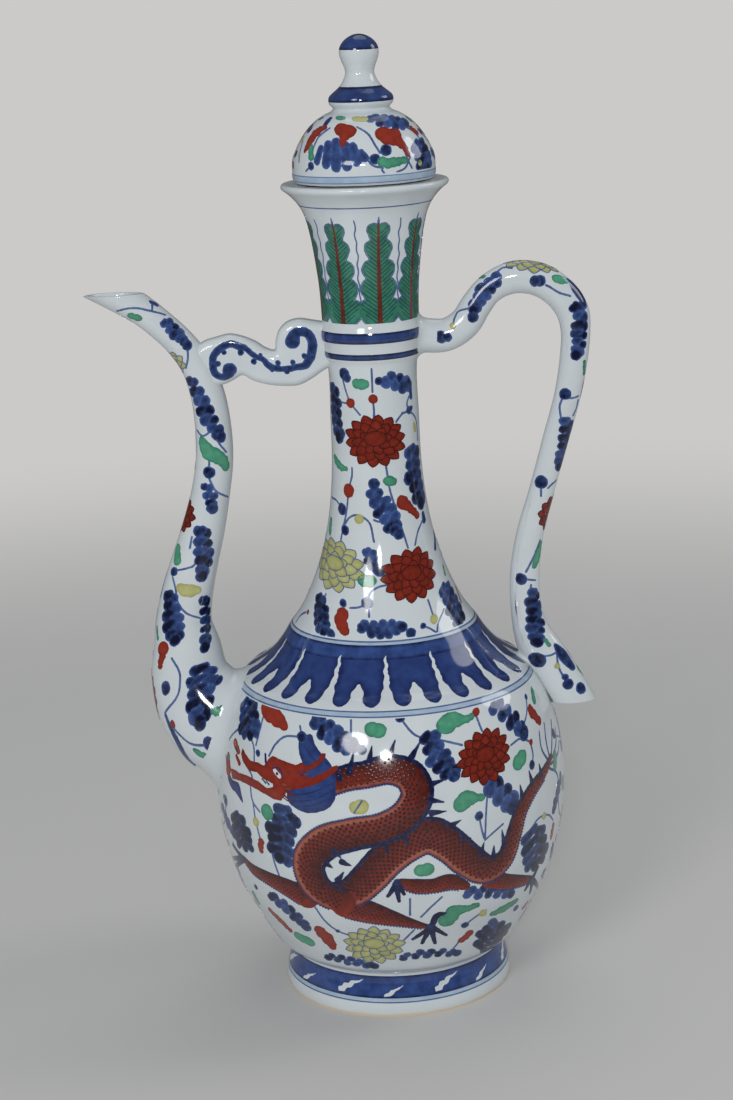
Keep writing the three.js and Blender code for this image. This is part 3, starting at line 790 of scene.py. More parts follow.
class Canvas:
    # A patch of ground, flat in millimetres, that holds for each layer how deep a place lies in its shapes
    readsPhoto = True
    wavelengths = (2.1, 4.1)  # of a cloudy edge and of its wander

    def __init__(self, ground, low, high, left, right, cell=0.22, edge=None):
        self.ground, self.cell, self.layers = ground, cell, {}
        self.us = np.arange(left - 2 * cell, right + 2 * cell, cell)
        self.vs = np.arange(low - 2 * cell, high + 2 * cell, cell)
        u, v = np.meshgrid(self.us, self.vs)
        self.border = np.minimum(np.minimum(u - left, right - u), np.minimum(v - low, high - v))
        if edge is not None:
            self.border = np.minimum(self.border, edge(u, v))
        self.wobble = (0.05 * np.sin(1.7 * u + 0.9 * v) + 0.04 * np.sin(2.9 * v - 1.3 * u + 1)
                       + 0.03 * np.sin(4.3 * u + 3.1))
        self.dice = random.Random(11)

    def toFlat(self, chain):
        # Photo pixels, with radii in pixels if given, to flat millimetres
        chain = np.atleast_2d(np.asarray(chain, float))
        spots = self.ground.spot(chain[:, :2])
        radii = [chain[:, 2] * self.ground.scaleAt(spots)] if chain.shape[1] > 2 else []
        return np.column_stack([spots[:, 0] / self.ground.stretch(spots[:, 1]), spots[:, 1]] + radii)

    def unflat(self, flat):
        return np.column_stack([flat[:, 0] * self.ground.stretch(flat[:, 1]), flat[:, 1]])

    def window(self, points, margin):
        cols, rows = (slice(*np.searchsorted(axis, [values.min() - margin, values.max() + margin]))
                      for axis, values in ((self.us, points[:, 0]), (self.vs, points[:, 1])))
        return rows, cols, *np.meshgrid(self.us[cols], self.vs[rows])

    def lay(self, layer, rows, cols, depth, tone=0.0, soft=0.9):
        if depth.size == 0:
            return
        if layer not in self.layers:
            shape = self.border.shape
            self.layers[layer] = [np.full(shape, -3.0, np.float32), np.zeros(shape, np.float32),
                                  np.zeros(shape, np.float32)]
        field, wash, tones = self.layers[layer]
        depth = depth + self.wobble[rows, cols] * np.clip(depth.max() / 0.8, 0, 1)
        inside = depth > 0
        wash[rows, cols][inside] = np.minimum(depth[inside] / soft, 1)
        tones[rows, cols][inside] = tone
        np.maximum(field[rows, cols], depth, out=field[rows, cols])

    def carve(self, layer, rows, cols, depth):
        if layer in self.layers and depth.size:
            field = self.layers[layer][0]
            np.minimum(field[rows, cols], -depth, out=field[rows, cols])

    def strokeDepth(self, chain, margin=1.0):
        # How deep each place lies in a stroke, and how far left of its middle, from -1 to 1
        rows, cols, u, v = self.window(chain, chain[:, 2].max() + margin)
        depth, across = np.full(u.shape, -9.0), np.zeros(u.shape)
        if len(chain) == 1:
            chain = np.vstack([chain, chain])
        for (u0, v0, r0), (u1, v1, r1) in zip(chain[:-1], chain[1:]):
            du, dv = u1 - u0, v1 - v0
            square = max(du * du + dv * dv, 1e-9)
            t = np.clip(((u - u0) * du + (v - v0) * dv) / square, 0, 1)
            radius = r0 + t * (r1 - r0)
            near = radius - np.hypot(u - u0 - t * du, v - v0 - t * dv)
            share = (du * (v - v0) - dv * (u - u0)) / (math.sqrt(square) * radius)
            across = np.where(near > depth, share, across)
            depth = np.maximum(depth, near)
        return rows, cols, depth, across

    def brush(self, layer, chain, tone=0.0, soft=0.9):
        # A stroke through flat millimetres with radii
        self.lay(layer, *self.strokeDepth(np.asarray(chain))[:3], tone, soft)

    def smoothChain(self, chain):
        chain = self.toFlat(chain)
        return curveThrough(chain, 5) if len(chain) > 2 else chain

    def stroke(self, layer, chain, tone=None, soft=0.9, waver=0.0):
        # One brush stroke through pixels with radii; waver makes its edge rise and fall like a cloud
        smooth = self.smoothChain(chain)
        if waver and len(chain) > 1:
            smooth = evenly(smooth, 0.35)
            length = lengthAlong(smooth[:, :2])
            swing, wander = (length * math.tau / wavelength for wavelength in self.wavelengths)
            side = leftOf(runOf(smooth[:, :2], least=1e-9))
            swing = np.sin(swing + self.dice.uniform(0, 6))
            smooth[:, :2] += side * (0.5 * waver * smooth[:, 2] * np.cos(wander))[:, None]
            smooth[:, 2] *= 1 + waver * swing
        self.brush(layer, smooth, self.dice.uniform(0, 0.5) if tone is None else tone, soft)

    def strokes(self, layer, chains, tone=None, soft=0.9, waver=0.0):
        for chain in chains:
            self.stroke(layer, chain, tone, soft, waver)

    def lines(self, many, radius=1.1, layer="line"):
        self.strokes(layer, [[(x, y, radius) for x, y in points] for points in many], 0.0)

    def seenWidth(self, u, v):
        # How narrow a width across the axis looks in the photograph, from 0 to 1
        spot = self.unflat(np.array([[u, v]]))
        outward, sight = self.ground.facing(spot)[0], eye - self.ground.place(spot, 0.0)[0]
        return abs(float(outward @ sight)) / (np.linalg.norm(outward) * np.linalg.norm(sight))

    def spray(self, start, end, half, count, tone):
        # A leaf of overlapping rounded dabs in pairs along a bent rib
        s = leafSizes
        (u0, v0, r), (u1, v1, _) = self.toFlat([(*start, s["rootWidth"] * half), (*end, half)])
        span = math.hypot(u1 - u0, v1 - v0)
        du, dv = (u1 - u0) / span, (v1 - v0) / span
        if self.readsPhoto and abs(dv) > abs(du):
            r /= min(max(self.seenWidth((u0 + u1) / 2, (v0 + v1) / 2), self.ground.slimmest), 1)
        count = max(3, round(s["dabShare"] * count))
        dab = min(s["dabLength"] * span / count, s["dabWidth"] * r)
        bend = self.dice.uniform(-s["bend"], s["bend"]) * span
        (least, swell), (first, apart) = s["swell"], s["apart"]
        for i in range(count):
            envelope = r * (least + swell * math.sin(math.pi * (i + 0.9) / (count + 0.8)))
            for side in (1, -1):
                t = (i + first + apart * side) / count
                off = bend * math.sin(math.pi * t)
                cu, cv = u0 + du * t * span - dv * off, v0 + dv * t * span + du * off
                size = dab * self.dice.uniform(0.86, 1.14)
                reach = max(envelope * self.dice.uniform(0.84, 1.1) - size, 0.3 * size)
                lean = s["lean"] * reach
                tip = (cu - dv * side * reach + du * lean, cv + du * side * reach + dv * lean, size)
                shade = tone + self.dice.uniform(*s["dabTone"])
                self.brush("cobalt", [(cu, cv, size * 0.7), tip], shade, 0.5 * size)
        self.brush("cobalt", [(u1, v1, dab * 1.15)], tone + s["tipTone"], 0.5 * dab)

    def fill(self, layer, shape, tone=0.0, soft=0.9, inset=0.0):
        # A filled outline in flat millimetres
        rows, cols, u, v = self.window(shape, 0.9)
        depth = polygonDepth(shape, u, v) - inset
        self.lay(layer, rows, cols, depth, tone, soft)
        return rows, cols, depth

    def inked(self, layer, shape, tone):
        # A filled shape with its outline, over what was laid before
        ink = "ink" if layer == "lotus" else "blueInk"
        rows, cols, depth = self.fill(layer, shape, tone, 1.3)
        self.carve(ink, rows, cols, depth)
        self.lay(ink, rows, cols, flowerSizes["ink"] - np.abs(depth), 0, 0.3)

    def petal(self, layer, middle, size, angle, root, reach, spread):
        a, long = spread, reach - root
        side = [(root, 0.6 * a), (root + 0.5 * long, a), (reach - 0.27 * long, 0.8 * a),
                (reach - 0.1 * long, 0.4 * a)]
        shape = [(p, -q) for p, q in side] + [(reach, 0)] + side[::-1]
        turns = [angle + q / max(p, 0.2) * 0.8 for p, q in shape]
        shape = np.array([(middle[0] + size[0] * p * math.cos(turn), middle[1] + size[1] * p * math.sin(turn))
                          for (p, q), turn in zip(shape, turns)])
        self.inked(layer, shape, self.dice.uniform(0, 0.5))

    def bloom(self, layer, middle, size, petals, turned):
        # Three rows of pointed petals round a domed seed head
        s = flowerSizes
        for reach, root, fewer, shift in s["rows"]:
            count = max(petals - fewer, s["fewest"])
            for i in range(count):
                angle = math.tau * (i + shift) / count + turned
                long = reach * self.dice.uniform(0.95, 1.03)
                self.petal(layer, middle, size, angle, root, long, reach * math.pi / count * s["overlap"])
        wide, tall, rise = s["seedHead"]
        dome = np.array([(middle[0] + size[0] * wide * math.cos(t),
                          middle[1] + size[1] * (tall * math.sin(t) + rise))
                         for t in np.linspace(0, math.tau, 20, endpoint=False)])
        self.inked(layer, dome, 0.45)

    def lotus(self, layer, centre, size, petals=13, turned=0.1):
        # Size is half width and half height in pixels
        (x, y), (w, h) = centre, size
        spots = self.toFlat([centre, (x + w, y), (x - w, y), (x, y - h), (x, y + h)])
        self.bloom(layer, spots[0], (np.linalg.norm(spots[1] - spots[2]) / 2,
                                     np.linalg.norm(spots[3] - spots[4]) / 2), petals, turned)

    def edgeLotus(self, layer, centre, size, petals, turned):
        # A flower whose middle is on the outer edge of a tube, where the two mirrored halves meet
        self.bloom(layer, (0.0, self.toFlat([centre])[0, 1]), size, petals, turned)

    def edgeStroke(self, layer, chain):
        # Pixels on the outer edge of a tube, with radii in millimetres
        heights = self.toFlat([(x, y) for x, y, r in chain])[:, 1]
        self.brush(layer, [(0.0, v, spot[2]) for v, spot in zip(heights, chain)], 0.3)

    def patch(self, layer, pixels, tone=0.0, soft=1.6, smooth=True):
        flat = self.toFlat(pixels)
        self.fill(layer, closedCurve(flat) if smooth else flat, tone, soft)

    def sample(self, field, flat):
        col = np.clip((flat[:, 0] - self.us[0]) / self.cell, 0, len(self.us) - 1.001)
        row = np.clip((flat[:, 1] - self.vs[0]) / self.cell, 0, len(self.vs) - 1.001)
        c, r = col.astype(int), row.astype(int)
        s, t = col - c, row - r
        return ((field[r, c] * (1 - s) + field[r, c + 1] * s) * (1 - t)
                + (field[r + 1, c] * (1 - s) + field[r + 1, c + 1] * s) * t)

    def triangles(self, field, spacing, tolerance=0.03, rows=()):
        # Flat triangles that fill the shapes of a field
        coords, edges = [], []
        for level in (0.0, *rows):
            for loop in outlinesOf(field - level):
                loop = simplified(loop, tolerance / self.cell, spacing / self.cell * 1.3)
                if len(loop) < 3:
                    continue
                first = len(coords)
                coords += [(self.us[0] + c * self.cell, self.vs[0] + r * self.cell) for c, r in loop]
                edges += [(first + i, first + (i + 1) % len(loop)) for i in range(len(loop))]
        u, v = np.meshgrid(np.arange(self.us[0], self.us[-1], spacing),
                           np.arange(self.vs[0], self.vs[-1], spacing * 0.87))
        u = u + (np.arange(len(u)) % 2)[:, None] * spacing / 2
        grid = np.column_stack([u.ravel(), v.ravel()])
        depth = self.sample(field, grid)
        near = depth > 0.42 * spacing
        for level in rows:
            near &= np.abs(depth - level) > 0.3 * spacing
        coords += grid[near].tolist()
        out = delaunay_2d_cdt([Vector(p) for p in coords], edges, [], 1, 1e-5)
        flat = np.array([tuple(p) for p in out[0]])
        faces = np.array([f for f in out[2] if len(f) == 3])
        faces = faces[self.sample(field, flat[faces].mean(axis=1)) > 0]
        for _ in range(4):  # a point where two rims touch loses its faces
            pinched = np.flatnonzero(np.bincount([a for a, b in rimOf(faces)], minlength=len(flat)) > 1)
            faces = faces[~np.isin(faces, pinched).any(axis=1)]
        return flat, faces

    def raisePads(self, layer, name, material, lift, spacing, body, slotName, repeat, first=0.0, sink=0.25):
        # Makes one layer into thin closed pads of glaze that follow the ground, repeated or mirrored
        field, wash, tone = self.layers[layer]
        flat, faces = self.triangles(np.minimum(field, self.border), spacing)
        used = np.unique(faces)
        order = np.full(len(flat), -1)
        order[used] = np.arange(len(used))
        flat, faces = flat[used], order[faces]
        spots = self.unflat(flat)
        piece = slab(name, self.ground.place(spots, lift), self.ground.place(spots, -sink), faces, material)
        setValues(piece, wash=np.tile(self.sample(wash, flat), 2), tone=np.tile(self.sample(tone, flat), 2))
        if repeat == "mirror":
            runTree(piece, "mirror", material)
        else:
            runTree(piece, "repeat", material, Count=repeat, Axis=axisX, First=first)
        smoothFaces(piece, 45)
        settle(piece, body, slotName)


class TurnCanvas(Canvas):
    # A canvas whose marks are given in degrees from its middle, height and radius in millimetres
    readsPhoto = False

    def toFlat(self, chain):
        chain = np.atleast_2d(np.asarray(chain, float))
        y = self.ground.yAt(chain[:, 1])
        across = np.radians(chain[:, 0]) * self.ground.reference / self.ground.stretch(y)
        return np.column_stack([across, y, *chain[:, 2:].T])


def turnedCanvas(kind, ground, low, high, half=None, cell=0.22, share=0):
    # A patch between two heights of a turned ground; with share it stays inside that part of the turn
    y0, y1 = ground.yAt(low), ground.yAt(high)
    if half is None:
        inside = (ground.length >= y0) & (ground.length <= y1)
        half, share = ground.outline[inside, 0].max() * math.pi / 2, 2

    def edge(u, v):
        return math.pi / share * ground.reference / ground.stretch(v) - np.abs(u)
    return kind(ground, y0, y1, -half, half, cell, edge if share else None)


def tubeCanvas(ground, low, high):
    widest = max(float(np.max(ground.width)), 8)
    return Canvas(ground, low, ground.length[-1] - high, 0, math.pi * widest, 0.2,
                  lambda u, v: np.minimum(u, math.pi * ground.reference / ground.stretch(v) - u))


# Bridge
class BridgeGround:
    # x and y are the part's x and z, and the face swells to the front
    def __init__(self, outline, thickness, rounding):
        self.outline, self.half, self.rounding = outline, thickness / 2, rounding

    def stretch(self, y):
        return np.ones_like(y)

    def halfAt(self, depth):
        inset = self.rounding - np.clip(depth, 0, self.rounding)
        return self.half - self.rounding + np.sqrt(np.maximum(self.rounding**2 - inset**2, 0))

    def spot(self, pixels):
        lines = sightLine(pixels)
        return (eye + ((-self.half - eye[1]) / lines[:, 1])[:, None] * lines)[:, [0, 2]]

    def place(self, spots, lift):
        half = self.halfAt(polygonDepth(self.outline, spots[:, 0], spots[:, 1]))
        return np.column_stack([spots[:, 0], -half - lift, spots[:, 1]])

    def scaleAt(self, spots):
        return np.full(len(spots), bridgeSizes["pixel"])


bridgeSizes = {
    "outline": [(-13, 257), (-17.8, 257.4), (-21.4, 258.1), (-26.9, 258.9), (-30.6, 257.9), (-33.7, 255),
        (-35.1, 251.4), (-35.7, 247.6), (-38.6, 248.4), (-42.5, 251.1), (-47.2, 253.2), (-52.1, 254.3),
        (-57, 253.3), (-61.6, 252), (-66, 248.5), (-63.5, 238), (-58, 235.4), (-54, 236.2), (-51.3, 237.4),
        (-48, 239), (-44.5, 237), (-39.1, 235.2), (-33, 234.3), (-27.4, 234.4), (-22.5, 236.6), (-18, 239.5),
        (-13, 242)],
    "thickness": 9, "rounding": 3,
    "rows": (0.2, 0.6, 1.2, 2.0, 2.9),  # depths at which the face bends
    "pixel": 0.355,  # millimetres for one pixel of the photo
}


def makeBridge():
    s = bridgeSizes
    outline = curveThrough(s["outline"], 4)
    ground = BridgeGround(outline, s["thickness"], s["rounding"])
    canvas = Canvas(ground, 232, 261, -68, -11, 0.25)
    rows, cols, u, v = canvas.window(outline, 2)
    field = np.full(canvas.border.shape, -3.0)
    field[rows, cols] = polygonDepth(outline, u, v)
    flat, faces = canvas.triangles(field, 1.3, 0.02, s["rows"])
    half = ground.halfAt(canvas.sample(field, flat))
    over, under = (np.column_stack([flat[:, 0], side * half, flat[:, 1]]) for side in (-1, 1))
    piece = slab("bridgeCloud", over, under, faces)
    smoothFaces(piece, 75)
    settle(piece, "ewer", "spout_bridge", "spout_bridge")
    return ground


bridgeGround = makeBridge()
print("bridge made")


# Painted rings
def paintedRing(body, ground, name, low, high, material, lift, slotName, sink=0.25):
    # A closed band of glaze between two heights of a turned ground
    ys = np.linspace(ground.yAt(low), ground.yAt(high), max(5, int((high - low) / 0.25)))
    spots = np.column_stack([np.full(len(ys), math.pi / 2 * ground.reference), ys])
    over, under = (ground.place(spots, rise)[:, [0, 2]] for rise in (lift, -sink))
    piece = turnedPiece(name, np.vstack([over, under[::-1], over[:1]]), ewerSizes["sides"], material)
    heights = np.array([point.co.z for point in piece.data.vertices]) * 1000
    setValues(piece, wash=np.clip(np.minimum(heights - low, high - heights) / 1.1, 0, 1))
    settle(piece, body, slotName)


ringBands = {  # name, low and high edge, material, lift, slot
    "lid": [("lidLineLow", 309.2, 309.6, "cobaltFaint", 0.05, "lid_dome"),
        ("lidTint", 309.65, 311.5, "cobaltTint", 0.03, "lid_dome"),
        ("lidLineHigh", 311.45, 311.85, "cobaltFaint", 0.05, "lid_dome"),
        ("knobRingBlue", 336.5, 341.7, "cobaltRing", 0.04, "lid_knob_ring"),
        ("budBlue", 354.6, 359.94, "cobaltRing", 0.04, "lid_finial")],
    "ewer": [("mouthLine", 300.3, 300.75, "cobaltLine", 0.04, "mouth_cup"),
        ("collarHigh", 251, 254.9, "cobaltRing", 0.05, "neck_collar"),
        ("collarLow", 244.9, 247.1, "cobaltRing", 0.05, "neck_collar"),
        ("neckLine", 143.95, 144.45, "cobaltLine", 0.05, "neck"),
        ("neckTint", 143.1, 143.95, "cobaltTint", 0.03, "neck"),
        ("lappetBand", 138.4, 143.1, "cobaltWash", 0.075, "upper_body"),
        ("shoulderHigh", 123.75, 124.15, "cobaltLine", 0.05, "upper_body"),
        ("shoulderTint", 122.55, 123.75, "cobaltTint", 0.03, "upper_body"),
        ("shoulderLow", 122.15, 122.6, "cobaltLine", 0.05, "upper_body"),
        ("footTop", 17.3, 17.8, "cobaltLine", 0.04, "foot_ring"),
        ("footBand", 7.3, 15.6, "cobaltWash", 0.05, "foot_ring"),
        ("footTint", 5.9, 7.3, "cobaltTint", 0.03, "foot_ring"),
        ("footLine", 5.5, 6, "cobaltLine", 0.05, "foot_ring")],
}
for body, ground in (("lid", lidGround), ("ewer", ewerGround)):
    for ring in ringBands[body]:
        paintedRing(body, ground, *ring)
print("painted rings made")


# Painting
layerLooks = {  # material, lift and spacing, in the order of making
    "line": ("cobaltLine", 0.035, 1.0), "mane": ("cobaltMane", 0.053, 1.0), "cobalt": ("cobalt", 0.055, 0.7),
    "red": ("ironBright", 0.06, 0.9), "lotus": ("ironRed", 0.062, 0.9), "green": ("green", 0.06, 0.8),
    "yellow": ("yellow", 0.06, 0.8), "limbs": ("dragonRed", 0.065, 1.2), "limbsPale": ("ironBright", 0.074, 1.0),
    "limbsInk": ("cobaltInk", 0.078, 1.0), "tail": ("dragonRed", 0.085, 1.2),
    "tailPale": ("dragonPale", 0.1, 1.0), "tailInk": ("cobaltInk", 0.105, 1.0),
    "coil": ("dragonRed", 0.125, 1.2), "coilPale": ("dragonPale", 0.14, 1.0),
    "coilInk": ("cobaltInk", 0.145, 1.0), "hair": ("cobaltInk", 0.065, 0.8), "head": ("ironBright", 0.15, 0.8),
    "headPale": ("dragonPale", 0.165, 0.8), "white": ("porcelain", 0.17, 0.8), "ink": ("ironLine", 0.08, 0.9),
    "blueInk": ("cobaltLine", 0.08, 0.9), "eyeInk": ("cobaltInk", 0.185, 0.8),
}


def finishCanvas(canvas, prefix, body, slotName, repeat, first=0.0):
    for layer, look in layerLooks.items():
        if layer in canvas.layers:
            canvas.raisePads(layer, prefix + layer[0].upper() + layer[1:], *look, body, slotName, repeat, first)


def paintScroll(canvas, motifs, lineRadius=1.1, wavers=(0.22, 0.14, 0.12), swell=1.22, soft=0.8):
    # The stems, leaves, drops and flowers that all the lotus scrolls share
    canvas.lines(motifs["stems"], lineRadius)
    for spray in motifs["sprays"]:
        canvas.spray(*spray)
    canvas.strokes("cobalt", motifs.get("ovals", ()), 1.0, 0.8)
    canvas.strokes("cobalt", motifs.get("washes", ()), 0.45, 0.8)
    canvas.strokes("cobalt", [[(x, y, r * swell)] for x, y, r in motifs["lobes"]], 1.2, soft)
    for layer, waver in zip(("red", "green", "yellow"), wavers):
        canvas.strokes(layer, motifs.get(layer, ()), waver=waver)
    for flower in motifs.get("lotuses", ()):
        canvas.lotus(*flower)
    for flower in motifs.get("edgeLotuses", ()):
        canvas.edgeLotus(*flower)
    for layer, chain in motifs.get("edge", ()):
        canvas.edgeStroke(layer, chain)


def paintPanel(canvas, motifs, prefix, body, slotName, repeat=2, first=0.0, lineRadius=1.1):
    paintScroll(canvas, motifs, lineRadius)
    finishCanvas(canvas, prefix, body, slotName, repeat, first)
    print(prefix, "painted")


# The belly: lotus scroll and dragon
bellyMotifs = {  # photo pixels, with radii in pixels; the span is in millimetres
    "span": (17.9, 121.8),
    "stems": [[(400, 718), (415, 735), (440, 740), (462, 745)], [(475, 712), (477, 718), (482, 731)],
        [(511, 745), (519, 739), (531, 742)], [(479, 816), (481, 826), (484, 838)],
        [(489, 784), (487, 800), (485, 840)], [(529, 832), (538, 819), (549, 815), (553, 820)],
        [(485, 840), (494, 832), (503, 824)], [(223, 756), (227, 744), (234, 733), (243, 728.6), (249, 735),
        (253.6, 746), (254.3, 761)], [(243, 760), (249, 770), (252, 776), (250.7, 786), (253, 802), (260, 812)],
        [(253, 802), (256, 822), (260, 838)], [(269, 756), (276, 743.6), (284, 737), (303, 737)],
        [(272, 853), (275, 864), (279, 875)], [(315, 907), (326, 922), (338, 931), (352, 936)],
        [(442, 897), (431, 907), (421, 917)], [(410, 899), (410, 915)], [(351, 720), (351, 737)],
        [(526, 698), (527, 710), (524, 724)], [(268, 700), (262, 722), (256, 745)],
        [(465, 925), (478, 915), (486, 910)], [(233, 842), (240, 856)], [(300, 726), (302, 737)],
        [(531, 745), (533, 755), (532, 766)], [(404, 940), (414, 930)], [(452, 950), (462, 938)]],
    "sprays": [((248, 697), (250, 735), 12, 5, 0.6), ((314, 718), (354, 747), 14, 6, 0.1),
        ((427, 732), (454, 775), 15, 6, 0.3), ((492, 703), (524, 733), 13, 5, 0.2),
        ((490, 783), (513, 806), 12, 4, 0.1), ((289, 808), (279, 857), 16, 6, 0.6),
        ((237, 812), (245, 847), 10, 5, 0.5), ((270, 894), (306, 927), 11, 6, 0.4),
        ((465, 893), (511, 894), 10, 7, 0.1), ((535, 825), (535, 865), 13, 5, 0.6),
        ((482, 952), (501, 925), 13, 5, 0.4), ((326, 956), (374, 966), 9, 7, 0.2),
        ((400, 957), (457, 953), 9, 7, 0.1), ((265, 943), (284, 956), 7, 3, 0.5)],
    "lobes": [(302, 737, 6), (258, 753, 3.6), (400, 718, 5), (479, 816, 5), (532, 765, 5), (465, 925, 4.6),
        (362, 750, 5), (455, 774, 5), (526, 697, 3), (524, 734, 3.5), (256, 887, 3.5), (338, 931, 2.6),
        (516, 908, 5), (307, 927, 5)],
    "red": [[(266, 710, 7), (273, 714, 8.5), (284, 725, 4.5)], [(476, 712, 4.5)], [(531, 742, 3.2)],
        [(261, 842, 3.8), (261, 850, 3.8)], [(319, 930, 5.5), (326, 937, 6.5), (333, 947, 4)],
        [(270, 910, 3.2), (280, 920, 4), (291, 931, 3)], [(462, 940, 3.6), (471, 932, 4)],
        [(530, 710, 5), (540, 722, 3.5)], [(553, 826, 3.5), (551, 838, 3)], [(523, 908, 3), (527, 903, 3)]],
    "green": [[(372, 730, 6.8), (381, 730, 6.8)], [(444, 726, 9), (453, 720, 8), (463, 720, 4), (471, 717, 3.5)],
        [(532, 690, 3.5), (534, 700, 4)], [(517, 764, 7), (523, 756, 7)], [(459, 806, 7), (467, 799, 8),
        (476, 798, 4), (483, 797, 3.5)], [(419, 871, 6), (429, 869, 6.5)], [(448, 920, 8.5), (455, 911, 7),
        (466, 909, 4), (477, 905, 3.5)], [(492, 914, 3), (503, 909, 5), (516, 901, 3.5)], [(267, 812, 8.5)],
        [(298, 936, 5.5), (310, 942, 6.5)], [(253, 892, 3), (258, 902, 4)], [(229, 757, 3)], [(224, 797, 3)]],
    "yellow": [[(356, 808, 6.5), (362, 806, 7)], [(483, 913, 5)], [(256, 822, 5)], [(544, 816, 4)]],
    "slash": [[(354, 813), (358, 807), (362, 801)]],
    "lotuses": [("lotus", (485.5, 756.5), (27, 28.5), 14), ("yellow", (374, 945), (31, 18.5), 13)],
}
dragonSizes = {  # a part has its line, where its belly band runs and the width of its back line
    "parts": [
        ("limbs", [(243, 857, 2.5), (252, 868, 6), (268, 878, 8), (288, 888, 11), (306, 897, 14)], 0.06, 0.94,
            0.1),
        ("limbs", [(345, 905, 16), (368, 912, 14), (390, 918, 10), (410, 923, 6), (428, 927, 3)], 0.06, 0.94,
            0.1),
        ("limbs", [(399, 882, 4), (415, 886, 8), (432, 886, 8), (450, 882, 9), (466, 886, 5)], 0.06, 0.94, 0.1),
        ("limbs", [(490, 880, 10), (508, 882, 9), (520, 881, 7), (531, 879, 4)], 0.06, 0.94, 0.1),
        ("tail", [(332, 896, 14), (352, 893, 16), (369, 879, 17.5), (386, 861, 18), (406, 846, 18),
            (430, 836, 18.5), (450, 846, 17.5), (468, 861, 17), (488, 870, 15), (504, 860, 12), (513, 838, 10.5),
            (521, 811, 9), (533, 789, 7.5), (545, 771, 5.5), (551, 757, 3.5)], 0.03, 0.93, 0.62),
        ("coil", [(331, 784, 11), (348, 778, 12), (366, 775, 12.5), (392, 770, 14), (410, 777, 15),
            (417, 794, 15.5), (408, 813, 15.5), (384, 828, 15.5), (353, 834, 16), (322, 844, 17),
            (308, 862, 17.5), (314, 884, 17), (330, 897, 15), (342, 901, 14)], 0.0, 0.97, 0.62),
    ],
    "coilSpikes": [[(372, 746), (369, 762)], [(354, 752), (349, 772)], [(395, 740), (390, 756)],
        [(420, 742), (411, 758)], [(336, 768), (340, 778)], [(444, 780), (431, 784)], [(444, 802), (430, 800)],
        [(446, 811), (432, 813)], [(409, 846), (404, 836)], [(388, 855), (385, 843)], [(341, 858), (333, 850)],
        [(352, 866), (342, 862)], [(344, 872), (338, 880)], [(333, 868), (326, 863)]],
    "tailSpikes": [[(461, 820), (450, 826)], [(471, 838), (461, 838)], [(484, 842), (481, 855)],
        [(494, 845), (493, 858)], [(502, 830), (504, 846)], [(520, 785), (522, 797)], [(529, 771), (532, 783)],
        [(539, 764), (541, 775)]],
    "claws": [[(430, 928), (413, 939)], [(430, 928), (422, 943)], [(431, 928), (435, 943)],
        [(431, 926), (446, 935)], [(432, 925), (438, 915), (445, 913)], [(396, 885), (388, 896)],
        [(397, 886), (399, 901)], [(397, 882), (404, 894)], [(532, 879), (538, 867)], [(533, 880), (540, 889)],
        [(532, 882), (530, 893)], [(530, 881), (525, 890)], [(242, 857), (233, 845)], [(241, 858), (231, 858)],
        [(243, 860), (236, 868)]],
    "clawRadii": {3: (3.4, 3.4, 1.6), 2: (3.6, 1.8)},
    "paws": [(430, 927, 5), (396, 884, 4), (532, 880, 3.6), (242, 858, 3.6)],
    "fin": [[(549, 762), (541, 747), (539, 731)], [(550, 760), (546, 741), (544, 723)], [(551, 758), (551, 720)],
        [(552, 758), (556, 740), (555, 727)], [(551, 764), (558, 752), (559, 741)],
        [(549, 768), (557, 774), (559, 786)]],
    "shading": ((0.62, -0.62), (0.25, 0.45)), "dots": (2.15, 0.58), "limbDots": (1.75, 0.46), "slimmest": 1.6,
    "band": (-0.78, 0.2, 0.1), "stitchGap": 1.15,
    "stitch": ((0, 0, 0.2), (0.5, 0.1, 0.24), (0.62, 0.55, 0.14)),
}
